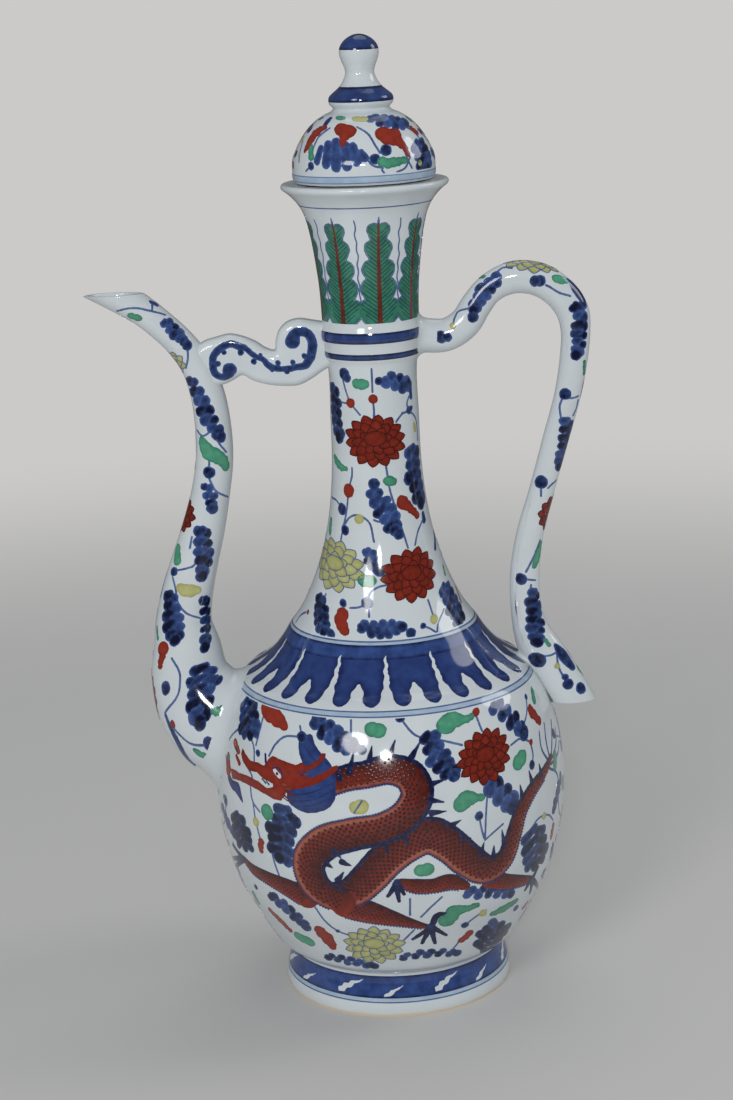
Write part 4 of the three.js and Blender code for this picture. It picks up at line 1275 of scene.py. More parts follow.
headMotifs = {
    "mane": [(303, 764), (299, 752), (299, 741), (304, 736), (311, 734), (315, 744), (320, 752), (330, 763),
        (335, 773), (336, 787), (335, 799), (330, 807), (319, 812), (307, 813), (297, 809), (288, 801),
        (287, 792), (294, 780)],
    "hair": [[(297, 807), (314, 805), (333, 797)], [(292, 801), (312, 800), (334, 790)],
        [(290, 795), (310, 793), (334, 783)], [(304, 745), (312, 757), (320, 766)],
        [(309, 738), (317, 752), (328, 765)]],
    "goatee": [(228, 766), (232, 779), (239, 784), (241, 792), (243, 803), (237, 794), (231, 787), (228, 778)],
    "face": [(242.9, 747.9), (245.7, 754.3), (250.7, 760.7), (257.1, 762.1), (264.3, 765.7), (268.6, 759.3),
        (272.9, 755.7), (278.6, 758.6), (287.1, 762.1), (295.7, 765), (302.1, 762.4), (305, 765.5), (311.4, 764),
        (318.6, 759.3), (322.1, 753.2), (325.9, 753.4), (325, 758.4), (318.6, 765.3), (310, 770.6), (303, 773),
        (302, 776.5), (311.4, 777.6), (324.3, 771.9), (334.3, 765.6), (338.1, 765.5), (337.4, 770.4),
        (330, 775.8), (320, 782.5), (308.6, 786.6), (295.7, 789.3), (288.6, 788.4), (285.7, 793.6),
        (281.4, 800.7), (274.3, 799.3), (267.1, 795), (255.7, 788.5), (247.1, 784), (240, 780.6), (232.6, 778.4),
        (230.9, 768.5), (234.3, 769.3), (238.6, 772.4), (248.6, 776), (258.6, 781.5), (267.1, 788.2),
        (273.6, 787), (272.9, 783.4), (262.9, 778.2), (257.1, 772.1), (250.7, 770.9), (246.4, 766.8),
        (242.9, 759.8), (241.4, 753.6)],
    "head": [[(236.5, 756, 2), (239.5, 763, 2.6)]],
    "headPale": [[(235.5, 743, 4.4), (238.5, 751, 3.4)], [(286, 788, 1.6), (293, 790, 1)],
        [(284, 795, 1), (291, 801, 0.6)], [(287, 792, 1.2), (296, 797, 0.6)], [(283, 784, 2), (288, 786, 1.4)],
        [(306, 774.5, 1.3), (301, 774.8, 0.9)]],
    "white": [[(275, 770.5, 2.2), (279.5, 776, 2.5)], [(242, 768, 1.2), (244, 772, 0.5)]],
    "eyeInk": [[(277.3, 773.6, 1.6)], [(272.5, 768.5, 0.7), (277, 767.5, 0.8), (282, 772, 0.7), (283, 778, 0.6)],
        [(236, 747, 1), (238.5, 752, 0.7)], [(262, 778.5, 0.5), (266, 783, 0.8)],
        [(266, 779.5, 0.5), (269, 784.5, 0.8)], [(265.5, 754, 1.1), (266, 762, 1.5)],
        [(283, 797, 0.5), (288, 801, 0.4)], [(305, 771.8, 0.5), (298, 772.4, 0.6)]],
}


def acrossBody(chain, share, radius, start=0.0, end=1.0):
    # A line that keeps its place across a tapering body; share is from -1 to 1, left side positive
    run = runOf(chain[:, :2])
    moved = chain[:, :2] + leftOf(run) * (chain[:, 2:3] * share)
    a, b = int(start * len(chain)), int(end * len(chain))
    return np.column_stack([moved, np.ones(len(chain)) * radius])[a:b], run[a:b]


def paintDragonPart(canvas, body, part, marks, start, end, backWidth):
    # Body, dark back line, pale belly band and its stitches; marks gathers where the scales go
    s = dragonSizes
    pale, ink = part + "Pale", part + "Ink"
    chain = evenly(canvas.smoothChain(body), 0.8)
    rows, cols, depth, _ = canvas.strokeDepth(chain)
    if part == "coil":
        for layer in ("tailInk", "tailPale"):
            canvas.carve(layer, rows, cols, depth + 0.3)
    canvas.lay(part, rows, cols, depth, 0.0, 2.2)
    rows, cols, depth, across = canvas.strokeDepth(chain[::2], 0)
    inside = depth > -0.5
    for shade, (middle, slope) in zip(canvas.layers[part][1:], s["shading"]):
        shade[rows, cols][inside] = np.clip(middle + slope * across, 0, 1)[inside]
    (place, share, least), radii = s["band"], chain[:, 2]
    canvas.brush(pale, acrossBody(chain, place, share * radii + least, start, end)[0], 0.0, 1.3)
    canvas.brush(ink, acrossBody(chain, 1.0, backWidth * np.clip(radii / 5, 0.25, 1) + 0.15)[0], 1.3, 1.0)
    hem, along = acrossBody(chain, -1.0, 0.2, start, end)
    canvas.brush(ink, hem, 0.0, 0.5)
    seam = acrossBody(chain, -0.97, 0.3, start, end)[0][:, :2]
    for u, v, du, dv in evenly(np.column_stack([seam, along]), s["stitchGap"]):
        canvas.brush(ink, [(u + dv * out + du * on, v - du * out + dv * on, r)
                           for out, on, r in s["stitch"]], 0.0, 0.3)
    length, run = lengthAlong(chain[:, :2]), runOf(chain[:, :2])
    gap, size = s["limbDots"] if part == "limbs" else s["dots"]
    for k, at in enumerate(np.arange(0.6, length[-1], gap * 0.5)):
        u, v, r, du, dv = readAt(at, length, *chain.T, *run.T)
        low, high = -0.66 * r, r - 1.0
        count = max(1, int((high - low) / gap))
        for j in range(count + 1 if r >= s["slimmest"] else 0):
            across = low + (j + 0.5 * (k % 2)) * (high - low) / count
            if across <= high:
                marks.append((u - dv * across, v + du * across, du, dv, size * min(1, 0.55 + r / 12), part))


def makeDotMark(sides=9):
    # A low round drop of enamel, one unit in radius
    turns = [math.tau * i / sides for i in range(sides)]
    rings = ((0.62, 0.1), (1, 0.0), (1, -0.3))  # radius and height
    points = [(math.cos(a) * r, math.sin(a) * r, z) for r, z in rings for a in turns]
    points += [(0, 0, 0.12), (0, 0, -0.3)]
    faces = []
    for i in range(sides):
        k = (i + 1) % sides
        faces += [(3 * sides, i, k), (sides + i, sides + k, k, i),
                  (2 * sides + i, 2 * sides + k, sides + k, sides + i),
                  (3 * sides + 1, 2 * sides + k, 2 * sides + i)]
    mark = newPiece("dotMark", points, faces)
    mark.data.polygons.foreach_set("use_smooth", [True] * len(faces))
    return mark


def scatterDots(name, canvas, marks, lift):
    flat, step = np.array([m[:2] for m in marks]), np.array([m[2:4] for m in marks]) * 0.05
    points, further = (canvas.ground.place(canvas.unflat(spots), lift) for spots in (flat, flat + step))
    piece = newPiece(name, toScene(points))
    setValues(piece, "FLOAT_VECTOR", facing=canvas.ground.facing(canvas.unflat(flat)), along=further - points)
    setValues(piece, size=[m[4] / 1000 for m in marks])
    mark = makeDotMark()
    runTree(piece, "scatter", "scaleInk", Mark=mark)
    bpy.data.objects.remove(mark)
    runTree(piece, "repeat", "scaleInk", Count=2, Axis=axisX)
    settle(piece, "ewer", "lower_body")


def paintDragon(canvas):
    # Gives the scales of each part that nothing covers
    d, h, marks = dragonSizes, headMotifs, []
    for part, body, start, end, backWidth in d["parts"]:
        paintDragonPart(canvas, body, part, marks, start, end, backWidth)
    for layer, spikes, root in (("coilInk", d["coilSpikes"], 3.6), ("tailInk", d["tailSpikes"], 3.4)):
        canvas.strokes(layer, [[(*tip, 0.5), (*base, root)] for tip, base in spikes], 1.2)
    canvas.strokes("tailInk", [[(*spot, r) for spot, r in zip(claw, d["clawRadii"][len(claw)])]
                               for claw in d["claws"]], 1.2)
    canvas.strokes("tailInk", [[paw] for paw in d["paws"]], 0.5)
    canvas.strokes("cobalt", [[(*spot, 1.5 - 0.3 * i) for i, spot in enumerate(ray)] for ray in d["fin"]], 1.4)
    canvas.patch("mane", h["mane"], 0.0, 2.4)
    canvas.patch("mane", h["goatee"], 0.3)
    canvas.lines(h["hair"], 0.7, "hair")
    canvas.patch("head", h["face"], 0.5, 1.5, smooth=False)
    for layer, tone in (("head", 0.5), ("headPale", 0.0), ("white", 0.0), ("eyeInk", 0.3)):
        canvas.strokes(layer, h[layer], tone)
    flat, field = np.array([mark[:2] for mark in marks]), {k: v[0] for k, v in canvas.layers.items()}
    head, coil, tail = (canvas.sample(cover, flat) for cover in (
        np.maximum(field["head"], field["mane"]), field["coil"], field["tail"]))
    free = {"coil": head < -0.4, "tail": coil < -0.5, "limbs": np.maximum(coil, tail) < -0.5}
    for layer in ("coil", "coilPale", "coilInk"):
        np.minimum(field[layer], -field["mane"], out=field[layer])
    return {part: [m for m, f in zip(marks, clear) if f and m[5] == part] for part, clear in free.items()}


def paintBelly():
    canvas = turnedCanvas(Canvas, ewerGround, *bellyMotifs["span"])
    paintScroll(canvas, bellyMotifs, 1.15, (0.24, 0.16, 0.12), 1.0, 0.9)
    canvas.lines(bellyMotifs["slash"], 0.9, "blueInk")
    scales = paintDragon(canvas)
    finishCanvas(canvas, "belly", "ewer", "lower_body", 2)
    for part, marks in scales.items():
        scatterDots("dragon" + part.rstrip("s").capitalize() + "Scales", canvas, marks, layerLooks[part][1])
    print("belly painted")


paintBelly()


# The scroll under the handle and beside the spout, in degrees and millimetres
sideMotifs = {
    "span": (18, 121.8),
    "stems": [[(-17, 100), (-8, 96), (0, 84), (-1, 72)], [(12, 104), (8, 92), (0, 84)],
        [(2, 52), (6, 44), (13, 38), (20, 38)], [(-3, 52), (-9, 44), (-16, 42), (-22, 46)],
        [(10, 68), (17, 72), (21, 80)], [(-11, 66), (-17, 70), (-20, 78)], [(0, 50), (1, 38), (-2, 28)],
        [(14, 104), (20, 99), (24, 92)]],
    "sprays": [((15, 78), (25, 70), 3.4, 5, 0.4), ((-15, 84), (-24, 74), 3.4, 5, 0.3),
        ((13, 42), (18, 52), 2.8, 4, 0.5), ((-12, 36), (-22, 28), 3, 5, 0.3), ((8, 32), (20, 27), 2.8, 5, 0.5),
        ((-10, 92), (-2, 104), 3, 5, 0.4), ((6, 98), (15, 90), 3, 5, 0.2), ((-14, 50), (-19, 57), 2.6, 4, 0.4)],
    "lobes": [(21, 82, 1.8), (-20, 80, 1.8), (20, 38, 1.7), (-22, 47, 1.7), (-2, 27, 1.6), (13, 106, 1.7),
        (-17, 101, 1.7)],
    "red": [[(-9, 24, 1.6), (-5, 27, 2.2), (-4, 31, 1.4)], [(24, 94, 2.0), (22, 100, 1.3)], [(14, 62, 1.3)],
        [(-14, 58, 1.4)]],
    "green": [[(6, 42, 2.2), (10, 44, 2.4), (14, 47, 1.2)], [(-8, 78, 2.6), (-12, 80, 1.6), (-14, 78, 1)],
        [(-9, 44, 2.4), (-6, 46, 1.8)], [(10, 82, 2.3), (8, 85, 2.0)], [(-20, 94, 1.8), (-22, 90, 2.0)]],
    "yellow": [[(3, 92, 1.9)], [(13, 54, 1.8), (11, 56, 1.4)], [(-14, 33, 1.6)]],
    "lotuses": [("lotus", (0, 62), (8.6, 9.6))],
}
paintPanel(turnedCanvas(TurnCanvas, ewerGround, *sideMotifs["span"], 34), sideMotifs, "side",
           "ewer", "lower_body", first=math.pi / 2, lineRadius=0.4)


# The neck
neckMotifs = {
    "span": (144.9, 243.2),
    "stems": [[(343, 380), (345, 388), (349, 400)], [(351, 404), (355, 409), (360, 415)],
        [(351, 404), (341, 402)], [(371.5, 369), (372, 380), (372.5, 392)], [(373, 402), (374, 410), (374, 418)],
        [(409, 410), (402, 414), (396, 422)], [(402, 413), (410, 412), (416, 420), (417.5, 440)],
        [(409, 396), (407, 403), (408, 410)], [(352, 468), (352, 476), (350, 484)],
        [(348, 498), (346, 515), (343, 528), (341, 540)], [(386, 466), (390, 490), (398, 516), (408, 548)],
        [(332, 497), (337, 501), (342, 509)], [(345, 524), (349, 518), (357, 515), (368, 521), (374, 542)],
        [(422, 521), (418, 531), (415, 545)], [(350, 608), (360, 607), (367, 603)],
        [(367, 603), (371, 592), (379, 587), (387, 585)], [(369, 606), (369, 617)],
        [(423, 626), (429, 628), (437, 633)], [(437, 634), (438, 624), (444, 609)],
        [(428, 600), (431, 609), (434, 618)], [(374, 520), (379, 522)], [(326, 594), (323, 600)],
        [(312, 640), (308, 655)], [(306, 612), (300, 616), (296, 622)]],
    "lobes": [(379, 381, 3.6), (409, 410, 3.6), (411, 408, 2.4), (380, 571, 5), (374, 484, 5), (399, 534, 4.8),
        (331, 634, 4.2), (411, 633, 4.6), (423, 626, 2.8), (367, 603, 5), (343, 603, 3.6), (376, 480, 1.2),
        (342, 509, 5.2), (345, 530, 4.4), (344, 374, 5.4), (347, 378, 4)],
    "ovals": [[(410, 386, 2.8), (411, 397, 2.6)], [(424, 520, 3.6), (423, 514, 3)],
        [(434, 532, 3), (435, 548, 3)]],
    "sprays": [((384, 379), (408, 385), 11, 4, 0.0), ((372, 489), (395, 530), 13, 6, 0.0),
        ((368, 549), (377, 570), 9, 4, 0.1), ((359, 626), (402, 627), 11, 6, 0.1),
        ((333, 384), (339, 437), 6.5, 6, 0.6), ((413, 445), (421, 502), 8.5, 7, 0.4),
        ((321, 594), (323, 632), 9, 6, 0.3), ((443, 584), (460, 622), 9, 6, 0.5)],
    "red": [[(350.5, 403, 5)], [(373, 399, 4.8)], [(348.5, 488, 6), (348.5, 494, 5)],
        [(401, 501, 6.5), (410, 508, 3.8), (417, 515, 3.2)], [(308, 612, 2.6)],
        [(342, 614, 5.8), (341, 624, 6.2), (346, 632, 4)], [(456, 588, 1.6), (461, 602, 1.4)]],
    "green": [[(357, 384, 5), (365, 384, 5)], [(335, 457, 3.2), (339, 465, 4.2), (346, 469, 2.2)],
        [(387, 481, 4.8), (393, 481, 4.8)], [(331, 520, 3.2), (330, 532, 3.4)],
        [(363, 581, 5.6), (371, 581, 5.6)], [(443, 566, 1.6), (445, 574, 1.8)]],
    "yellow": [[(359, 519, 5)], [(434, 619, 5)], [(414, 424, 2.4), (415, 430, 2.4)]],
    "lotuses": [("lotus", (375.5, 441), (30.5, 27.5), 14), ("lotus", (412, 575), (27, 28), 13, 0.3),
        ("yellow", (334, 565), (20.5, 28), 12, 0.2)],
}
paintPanel(turnedCanvas(Canvas, ewerGround, *neckMotifs["span"], cell=0.2), neckMotifs, "neck", "ewer", "neck")


# The lid, front and sides
lidMotifs = {
    "span": (312.4, 333),
    "stems": [[(330, 128), (318, 138), (312, 152)], [(357, 127), (368, 134), (375, 145), (380, 153)],
        [(392, 126), (405, 127), (415, 133), (421, 141)], [(382, 170), (387, 177)],
        [(341, 147), (345, 158), (342, 166)], [(404, 150), (408, 160), (412, 168)],
        [(303, 141), (300, 152), (299, 162)], [(410, 157), (405, 168), (397, 172)], [(311, 166), (306, 171)],
        [(366, 157), (372, 165), (383, 168)]],
    "lobes": [(375, 159, 4.6), (386, 150, 5.2), (311, 166, 3.6)],
    "ovals": [[(323, 129, 2.6), (327, 122, 3.2), (331, 118, 2.2)]],
    "washes": [[(321, 148, 3.6), (317, 161, 4.4)], [(328, 144, 4.4), (326, 164, 5.2)],
        [(336, 142, 5), (336, 167, 5.6)], [(345, 145, 4.8), (347, 166, 5.4)], [(353, 146, 4.2), (357, 162, 4.8)],
        [(361, 152, 3.4), (365, 158, 4.4)]],
    "sprays": [((416, 140), (428, 168), 9, 5, 0.4), ((369, 117), (406, 123), 11, 6, -0.3)],
    "red": [[(341, 130, 7), (351, 131, 7)], [(345, 134, 5), (342, 145, 2.6)], [(382, 134, 7), (393, 137, 8.5)],
        [(397, 140, 5), (404, 147, 3.4), (409, 156, 2)], [(325, 127, 2.6), (315, 134, 4.4), (309, 143, 4),
        (305, 151, 2.4)], [(411, 128, 2.6), (417, 133, 3)]],
    "green": [[(338, 118, 3.6), (343, 118, 3.6)], [(311, 147, 3.6), (311, 157, 3.8)], [(382, 162, 4.6),
        (391, 163, 4.8), (399, 161, 4), (406, 160, 3)], [(427, 132, 2), (430, 138, 2)]],
    "yellow": [[(356, 119, 4.2), (364, 119, 4.2)], [(299, 155, 2.4)], [(420, 163, 3)]],
}
lidSideMotifs = {
    "span": (312.4, 333),
    "stems": [[(-14, 324), (-6, 321), (2, 322), (10, 319)], [(2, 322), (4, 327), (12, 330)]],
    "sprays": [((-16, 318), (-4, 316), 2.2, 5, 0.1), ((6, 329), (18, 327), 1.9, 4, 0.3)],
    "lobes": [(13, 319, 1.2), (-15, 325, 1.2), (16, 331, 1.0)],
    "red": [[(-6, 326, 1.9), (-2, 325, 2.2), (2, 328, 1.0)], [(9, 315, 1.4), (13, 315, 1.0)]],
    "green": [[(-14, 329, 1.2), (-11, 330, 1.3)], [(0, 317, 1.3), (4, 318, 1.2)]],
    "yellow": [[(10, 324, 1.3), (13, 324, 1.2)]],
}
paintPanel(turnedCanvas(Canvas, lidGround, *lidMotifs["span"], cell=0.18), lidMotifs, "lid", "lid", "lid_dome")
paintPanel(turnedCanvas(TurnCanvas, lidGround, *lidSideMotifs["span"], 9, 0.2), lidSideMotifs, "lidSide",
           "lid", "lid_dome", first=math.pi / 2, lineRadius=0.35)


# The spout and the handle
spoutMotifs = {
    "bare": (22, 16),  # millimetres at each end
    "stems": [[(117, 311), (126, 308.5), (135, 308), (150, 311), (165, 315)],
        [(197, 430), (203, 436), (210, 432)], [(209, 478), (215, 490), (228, 497)],
        [(198, 560), (193, 566), (188, 568), (174, 571)], [(173, 577), (176, 590), (177, 600), (185, 612),
        (200, 618)], [(172, 658), (180, 675), (178, 695), (165, 713)],
        [(165, 715), (180, 735), (190, 743), (205, 745)], [(204, 445), (209, 458), (209, 470)],
        [(186, 344), (188, 356), (186, 368)], [(215, 437), (221, 446), (226, 452)], [(192, 537), (190, 548)]],
    "lobes": [(221, 437, 4.6), (209, 472.5, 5.2), (213, 509, 4.4), (174, 571.5, 4), (219, 680, 4.5),
        (166, 688, 4.6), (210, 744, 5.6), (190, 681, 3.6), (187, 345, 4.4)],
    "ovals": [[(151, 302, 2.4), (156, 304.5, 3)], [(152, 303, 1.2), (152, 310, 1)], [(166, 716, 2),
        (178, 742, 4.4), (187, 758, 3.6), (196, 770, 1.2)]],
    "sprays": [((164, 320), (184, 342), 8.5, 5, 0.2), ((189, 378), (218, 434), 10.5, 8, 0.2),
        ((205, 484), (211, 508), 8, 4, 0.1), ((206, 664), (200, 722), 18, 6, 0.4),
        ((202, 528), (202, 576), 11, 7, 0.4), ((171, 592), (175, 640), 11, 7, 0.4),
        ((205, 597), (205, 646), 8, 7, 0.5)],
    "red": [[(163, 649, 7.5)], [(162, 657, 4), (160, 666, 3)], [(173, 724, 3)]],
    "green": [[(131, 316, 3.6), (139, 318, 3.8)], [(202, 440, 4.4), (208, 452, 7), (220, 458, 6),
        (226, 466, 4.4)], [(178, 547, 4), (177, 560, 5)], [(157, 628, 1.8), (158, 638, 2)],
        [(213, 711, 3), (226, 712, 5), (229, 725, 3.4)], [(196, 751, 3), (210, 759, 3.6), (219, 768, 3)]],
    "yellow": [[(181, 588, 4.4), (190, 591, 6.4), (197, 590, 4)]],
    "edge": [("cobalt", [(166, 575, 1.2), (161, 594, 2.2)]), ("green", [(158, 614, 1.3), (156, 626, 1.9)]),
        ("red", [(154, 655, 1.5)]), ("green", [(167, 734, 1.5), (173, 746, 2.2)]), ("cobalt", [(188, 764, 1.9)]),
        ("cobalt", [(196, 436, 1.6), (196, 450, 1.1)]), ("green", [(195, 466, 1.6)]),
        ("cobalt", [(120, 313, 1.2), (130, 319, 1.7)])],
    "edgeLotuses": [("yellow", (177, 362), (7, 5.8), 9, 0.15), ("lotus", (188, 517), (7.8, 7.4), 12, 0.1),
        ("lotus", (157, 697), (6.4, 6.6), 12, 0.3)],
}
handleMotifs = {
    "bare": (12, 7),
    "stems": [[(453, 330), (454, 320), (458, 312), (470, 308)], [(546, 285), (560, 293), (570, 296)],
        [(565, 396), (570, 398), (578, 396)], [(578, 400), (576, 408), (573, 415)],
        [(548, 488), (552, 484), (556, 480)], [(521, 577), (526, 579), (535, 580)],
        [(531, 585), (530, 592), (529, 600)], [(545, 656), (551, 655), (557, 652)],
        [(556, 650), (558, 665), (565, 680)], [(497, 272), (503, 268), (512, 268)],
        [(561, 418), (560, 405), (564, 396)], [(541, 488), (541, 496)], [(540, 540), (534, 556), (526, 572)]],
    "lobes": [(473, 317, 4.6), (565, 394, 5), (541, 482, 5.6), (521, 579, 5), (537, 660, 7), (568, 684, 4.6),
        (581, 688, 5), (565, 677, 3), (540, 281, 4.6), (535, 281, 4.6), (441, 337, 5.2), (447, 337, 4)],
    "ovals": [[(569, 281, 3), (577, 290, 7), (584, 304, 4)], [(556, 646, 3), (563, 655, 7), (572, 666, 5)],
        [(573, 647, 2), (577, 652, 2.6)]],
    "sprays": [((500, 276), (474, 310), 10, 6, 0.2), ((575, 303), (576, 355), 9.5, 8, 0.4),
        ((568, 418), (559, 466), 9, 8, 0.3), ((535, 590), (537, 642), 11, 8, 0.5)],
    "edge": [("red", [(584, 384, 1.9), (581, 394, 1.5)]), ("cobalt", [(571, 430, 1.7)])],
    "green": [[(481, 277, 2), (484, 277, 2)], [(556, 279, 4.2), (564, 280, 4.4)],
        [(584, 362, 2), (584, 373, 2.2)], [(541, 543, 3), (538, 555, 4.4), (534, 566, 2.6)],
        [(578, 668, 3.6), (582, 673, 3)], [(545, 640, 2), (549, 645, 2)]],
    "yellow": [[(453, 326, 3.4)], [(557, 666, 3)]],
    "edgeLotuses": [("yellow", (532, 268), (6.8, 8.4), 11, 0.1), ("lotus", (545, 513), (6.8, 7.4), 11, 0.1)],
}
paintPanel(tubeCanvas(spoutGround, *spoutMotifs["bare"]), spoutMotifs, "spout", "ewer", "spout", "mirror")
paintPanel(tubeCanvas(handleGround, *handleMotifs["bare"]), handleMotifs, "handle", "ewer", "handle", "mirror")


# The bridge
bridgeMotifs = {
    "scroll": [(229.5, 370, 7.6), (226, 376, 4.4), (221, 377, 3.6), (215.1, 373.5, 3.8), (212.7, 364.2, 4),
        (213.7, 355.8, 4), (218.3, 350.1, 4), (224.9, 345.5, 3.8), (232.3, 344.1, 3.8), (238.9, 346.4, 3.8),
        (245.4, 348.3, 3.2), (251, 353, 3), (256.6, 357.1, 3), (263.2, 359.5, 3), (267.8, 364.6, 3.5),
        (273.4, 367.9, 3.5), (280.9, 368.8, 3.1), (288.4, 368.8, 3.4), (297.7, 367, 3.5), (305.2, 365.1, 4.3),
        (309.8, 358.6, 4.8), (312.2, 350.1, 4.9), (312.2, 341.7, 5), (308.4, 334.3, 5), (300.5, 331.4, 4.9),
        (294.6, 334.3, 5.6), (292.6, 341.2, 8)],
    "teeth": [(223.9, 352.5, 2.8), (217.9, 363.7, 3.2), (240.8, 352.5, 3.4), (253.8, 361.6, 3.2),
        (244.5, 346.4, 2.2), (260.4, 355, 2.2), (278.1, 362.8, 2.9), (292.6, 362.2, 2.8), (287, 371.6, 3),
        (272.5, 369.6, 2.8), (304.4, 355.8, 3), (312.2, 356.7, 3)],
}
bridgeCanvas = Canvas(bridgeGround, 233, 260, -66, -15, 0.2)
bridgeCanvas.stroke("cobalt", bridgeMotifs["scroll"], 0.9, 0.8)
bridgeCanvas.strokes("cobalt", [[dot] for dot in bridgeMotifs["teeth"]], 1.3)
finishCanvas(bridgeCanvas, "bridge", "ewer", "spout_bridge", "mirror")
print("bridge painted")


# Bands that repeat round the axis, in degrees and millimetres
bandSizes = {
    "lappets": {
        "count": 14, "span": (124.4, 139.6), "slitSpan": (127, 142),
        "side": [(0.995, 141.1), (0.955, 137.8), (0.975, 136.4), (0.92, 134.8), (0.95, 133.3), (0.88, 131.6),
                 (0.905, 130.2), (0.82, 128.9), (0.8, 127.4), (0.7, 125.9), (0.5, 125.1), (0.31, 125.8),
                 (0.2, 127.4), (0.22, 128.7), (0.1, 130.2), (0.02, 131.1)],
        "slit": [(0.1, 129.4, 0.9), (-0.5, 131.2, 0.7), (0.6, 133.0, 0.75), (-0.5, 134.8, 0.6),
                 (0.5, 136.6, 0.55), (-0.3, 138.2, 0.38), (0.4, 139.6, 0.2)],
    },
    "reserves": {
        "count": 7, "span": (7.4, 15.5),
        "clouds": [[(-33, 8.2), (-33.6, 10.0), (-31.2, 10.5), (-30.2, 11.8), (-27.5, 11.9), (-26.3, 13.0),
                    (-22.5, 13.3), (-18.3, 14.4), (-21.2, 12.6), (-24.0, 12.0), (-25.3, 10.5), (-28.2, 9.9),
                    (-29.2, 8.5)],
                   [(-8.3, 7.8), (-8.0, 9.0), (-5.8, 9.4), (-4.6, 10.5), (-2.4, 10.8), (2.8, 12.3), (0, 10.6),
                    (-2.0, 10.0), (-3.3, 8.6), (-5.2, 8.0)]],
    },
    "leaves": {
        "count": 8, "first": 11.5, "span": (258.3, 300), "hatches": 26, "hatchGap": 1.5, "hatchTop": 292,
        "lobes": [(7.9, 263.2, 4.0), (6.5, 271.2, 3.6), (5.9, 278.2, 3.1), (4.95, 285.8, 2.7),
                  (4.0, 292.4, 2.2)],
        "rib": [(289, 0.52), (294.8, 0.3)], "tip": [(293.8, 0.3), (295.2, 0.5), (297.0, 0.2)],
        "rippleSpan": (262, 299.4),
        "looks": {"leaf": ("bananaLeaves", "leafGreen", 0.05, 0.8),
                  "hatch": ("leafHatching", "leafHatch", 0.07, 0.9),
                  "edge": ("leafEdges", "cobaltLine", 0.075, 0.9), "rib": ("leafRibs", "ironRib", 0.085, 0.9)},
    },
}


def bandCanvas(low, high, half, cell, share=0):
    return turnedCanvas(TurnCanvas, ewerGround, low, high, half, cell, share)


def paintLappets():
    s = bandSizes["lappets"]
    count, half = s["count"], 180 / s["count"]
    canvas = bandCanvas(*s["span"], 14, 0.15, count)
    side = [(half * share, z) for share, z in s["side"]]
    canvas.fill("blue", closedCurve(canvas.toFlat(side + [(-a, z) for a, z in side[::-1]])), 0.45, 2.4)
    canvas.raisePads("blue", "lappets", "lappetBlue", 0.05, 0.9, "ewer", "upper_body", count,
                     math.radians(half))
    # White wavy slits that rise into the plain band
    slits = bandCanvas(*s["slitSpan"], 6, 0.12)
    slits.brush("white", curveThrough(slits.toFlat(s["slit"]), 5))
    slits.raisePads("white", "lappetSlits", "porcelain", 0.095, 0.8, "ewer", "upper_body", count)


def paintReserves():
    s = bandSizes["reserves"]
    canvas = bandCanvas(*s["span"], 27, 0.15)
    for shape in s["clouds"]:
        canvas.fill("white", canvas.toFlat(shape), inset=0.1)
    canvas.raisePads("white", "footReserves", "porcelain", 0.075, 0.8, "ewer", "foot_ring", s["count"])


def paintLeaves():
    s = bandSizes["leaves"]
    count, first, yAt = s["count"], s["first"], ewerGround.yAt
    low = yAt(s["span"][0])
    canvas = bandCanvas(*s["span"], 9, 0.15, count)
    canvas.brush("leaf", [(0, low - 1, 3.0), (0, low + 30, 1.8)], 0.1, 1.3)
    for wide, z, r in s["lobes"]:
        for sign in (1, -1):
            lobe = [(sign * 0.2, yAt(z) - 5.6, r * 0.9), (sign * 0.5 * (wide - r), yAt(z) - 2.2, r * 1.02),
                    (sign * (wide - r), yAt(z), r)]
            canvas.brush("leaf", curveThrough(lobe, 4), 0.1, 1.3)
    leaf = canvas.layers["leaf"][0]
    canvas.lay("edge", slice(None), slice(None), 0.2 - np.abs(leaf + 0.25), 0, 0.3)
    side = [max(0.4, np.max(np.where(row > 0, np.abs(canvas.us), 0))) for row in leaf]
    ys = low + 0.3 + np.arange(s["hatches"]) * s["hatchGap"]
    for y in ys[ys <= yAt(s["hatchTop"])]:
        width = np.interp(y, canvas.vs, side) * 0.96
        for sign in (1, -1):
            rows, cols, dash, _ = canvas.strokeDepth(np.array([(sign * 0.7, y - 0.4, 0.17),
                                                               (sign * width, y + width * 0.62, 0.13)]))
            canvas.lay("hatch", rows, cols, np.minimum(dash, leaf[rows, cols] + 0.1), 0, 0.3)
    rib = [(0, low - 0.5, 0.95), (0, low + 12, 0.8)] + [(0, yAt(z), r) for z, r in s["rib"]]
    canvas.brush("rib", rib, 0.2, 0.6)
    canvas.brush("edge", [(0, yAt(z), r) for z, r in s["tip"]], 0.3, 0.6)
    for layer, look in s["looks"].items():
        canvas.raisePads(layer, *look, "ewer", "mouth_cup", count, math.radians(first))
    # Wavy lines that hang between the leaves
    between = bandCanvas(*s["rippleSpan"], 3, 0.12)
    ripple = [(0.75 * math.sin(i * 1.9) + 0.5 * math.sin(i * 0.7), 265.5 + i * 1.6, 0.27) for i in range(20)]
    between.brush("line", curveThrough(between.toFlat(ripple), 4), 0.0, 0.3)
    between.raisePads("line", "leafRipples", "cobaltLine", 0.08, 0.9, "ewer", "mouth_cup", count,
                      math.radians(first + 180 / count))


paintLappets()
paintReserves()
paintLeaves()
print("bands painted")


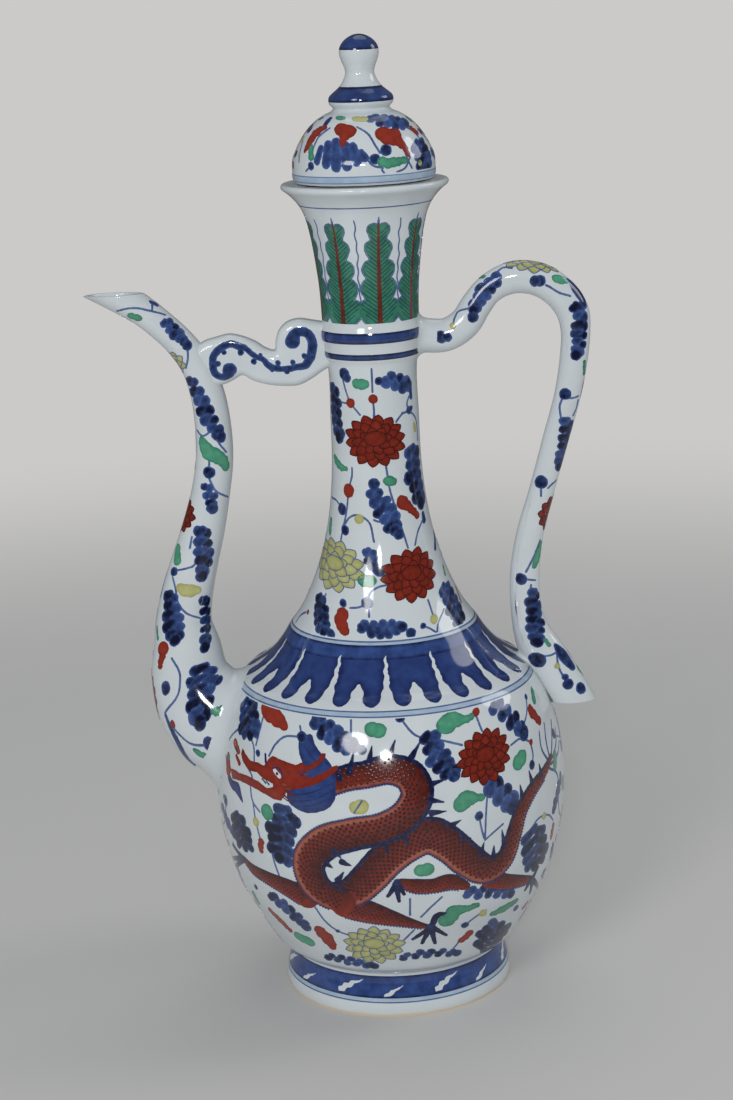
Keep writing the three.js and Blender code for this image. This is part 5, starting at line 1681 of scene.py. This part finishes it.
# Stage and light
stageSizes = {
    "radius": 40.0, "sides": 64,      # metres
    "colour": (203, 202, 200),        # floor and wall, 0 to 255
    "fadeFrom": 0.3, "fadeTo": 1.15,  # metres from the axis, where the floor turns into the plain wall
    "worldLight": 0.37, "worldTint": (0.93, 0.96, 1.0, 1), "reflectedLight": 0.17,
    "aim": (0, 0, 0.17),              # metres, where the lamps point
}
lamps = {  # place, size and power
    "keySoftbox": ((-0.62, -1.4, 0.9), 0.5, 7.2),
    "cameraFlash": ((-0.05, -1.5, 0.62), 0.17, 6.4),
    "fillSoftbox": ((1.35, 0.25, 0.95), 0.7, 4.4),
    "topSoftbox": ((0.1, 0.6, 1.5), 0.9, 2.2),
}


def plainWall(tree, kind, plain, output, share=None):
    # Mixes in the wall as the camera sees it, which is dimmer in reflections
    node, maths = nodeTools(tree)
    path = node("ShaderNodeLightPath").node.outputs
    seen = maths("MAXIMUM", path["Is Camera Ray"], path["Is Transmission Ray"])
    strength = node("ShaderNodeMapRange", {0: seen, 3: stageSizes["reflectedLight"]})
    wall = node(kind, {"Color": colour(*stageSizes["colour"]), "Strength": strength})
    seen = maths("MAXIMUM", seen, path["Is Glossy Ray"])
    seen = maths("MULTIPLY", share, seen) if share else seen
    mixed = node("ShaderNodeMixShader", {0: seen, 1: plain, 2: wall})
    tree.links.new(mixed, tree.nodes[output].inputs["Surface"])


def makeStage():
    s = stageSizes
    turns = [math.tau * i / s["sides"] for i in range(s["sides"])]
    floor = newPiece("floor", [(s["radius"] * math.cos(a), s["radius"] * math.sin(a), 0) for a in turns],
                     [range(s["sides"])])
    material, shader = newMaterial("paleFloor")
    for name, value in (("Base Color", colour(*s["colour"])), ("Roughness", 0.9), ("Specular IOR Level", 0.1)):
        shader[name].default_value = value
    tree = material.node_tree
    node, maths = nodeTools(tree)
    place = node("ShaderNodeTexCoord", (), "Object")
    away = node("ShaderNodeVectorMath", {0: place}, "Value", operation="LENGTH")
    fade = node("ShaderNodeMapRange", {0: away, 1: s["fadeFrom"], 2: s["fadeTo"]},
                interpolation_type="SMOOTHERSTEP")
    plainWall(tree, "ShaderNodeEmission", tree.nodes["Principled BSDF"].outputs[0], "Material Output", fade)
    floor.data.materials.append(material)
    world = bpy.data.worlds.new("studio")
    bpy.context.scene.world = world
    world.use_nodes = True
    soft = world.node_tree.nodes["Background"]
    soft.inputs["Color"].default_value = s["worldTint"]
    soft.inputs["Strength"].default_value = s["worldLight"]
    plainWall(world.node_tree, "ShaderNodeBackground", soft.outputs[0], "World Output")


def addLamp(name, place, size, power):
    data = bpy.data.lights.new(name, "AREA")
    data.shape, data.size, data.energy = "DISK", size, power
    lamp = bpy.data.objects.new(name, data)
    bpy.context.scene.collection.objects.link(lamp)
    lamp.location = place
    lamp.rotation_euler = (Vector(stageSizes["aim"]) - Vector(place)).to_track_quat("-Z", "Y").to_euler()


makeStage()
for name, lamp in lamps.items():
    addLamp(name, *lamp)
bpy.context.scene.view_settings.view_transform = "Standard"
print("stage and lamps made")
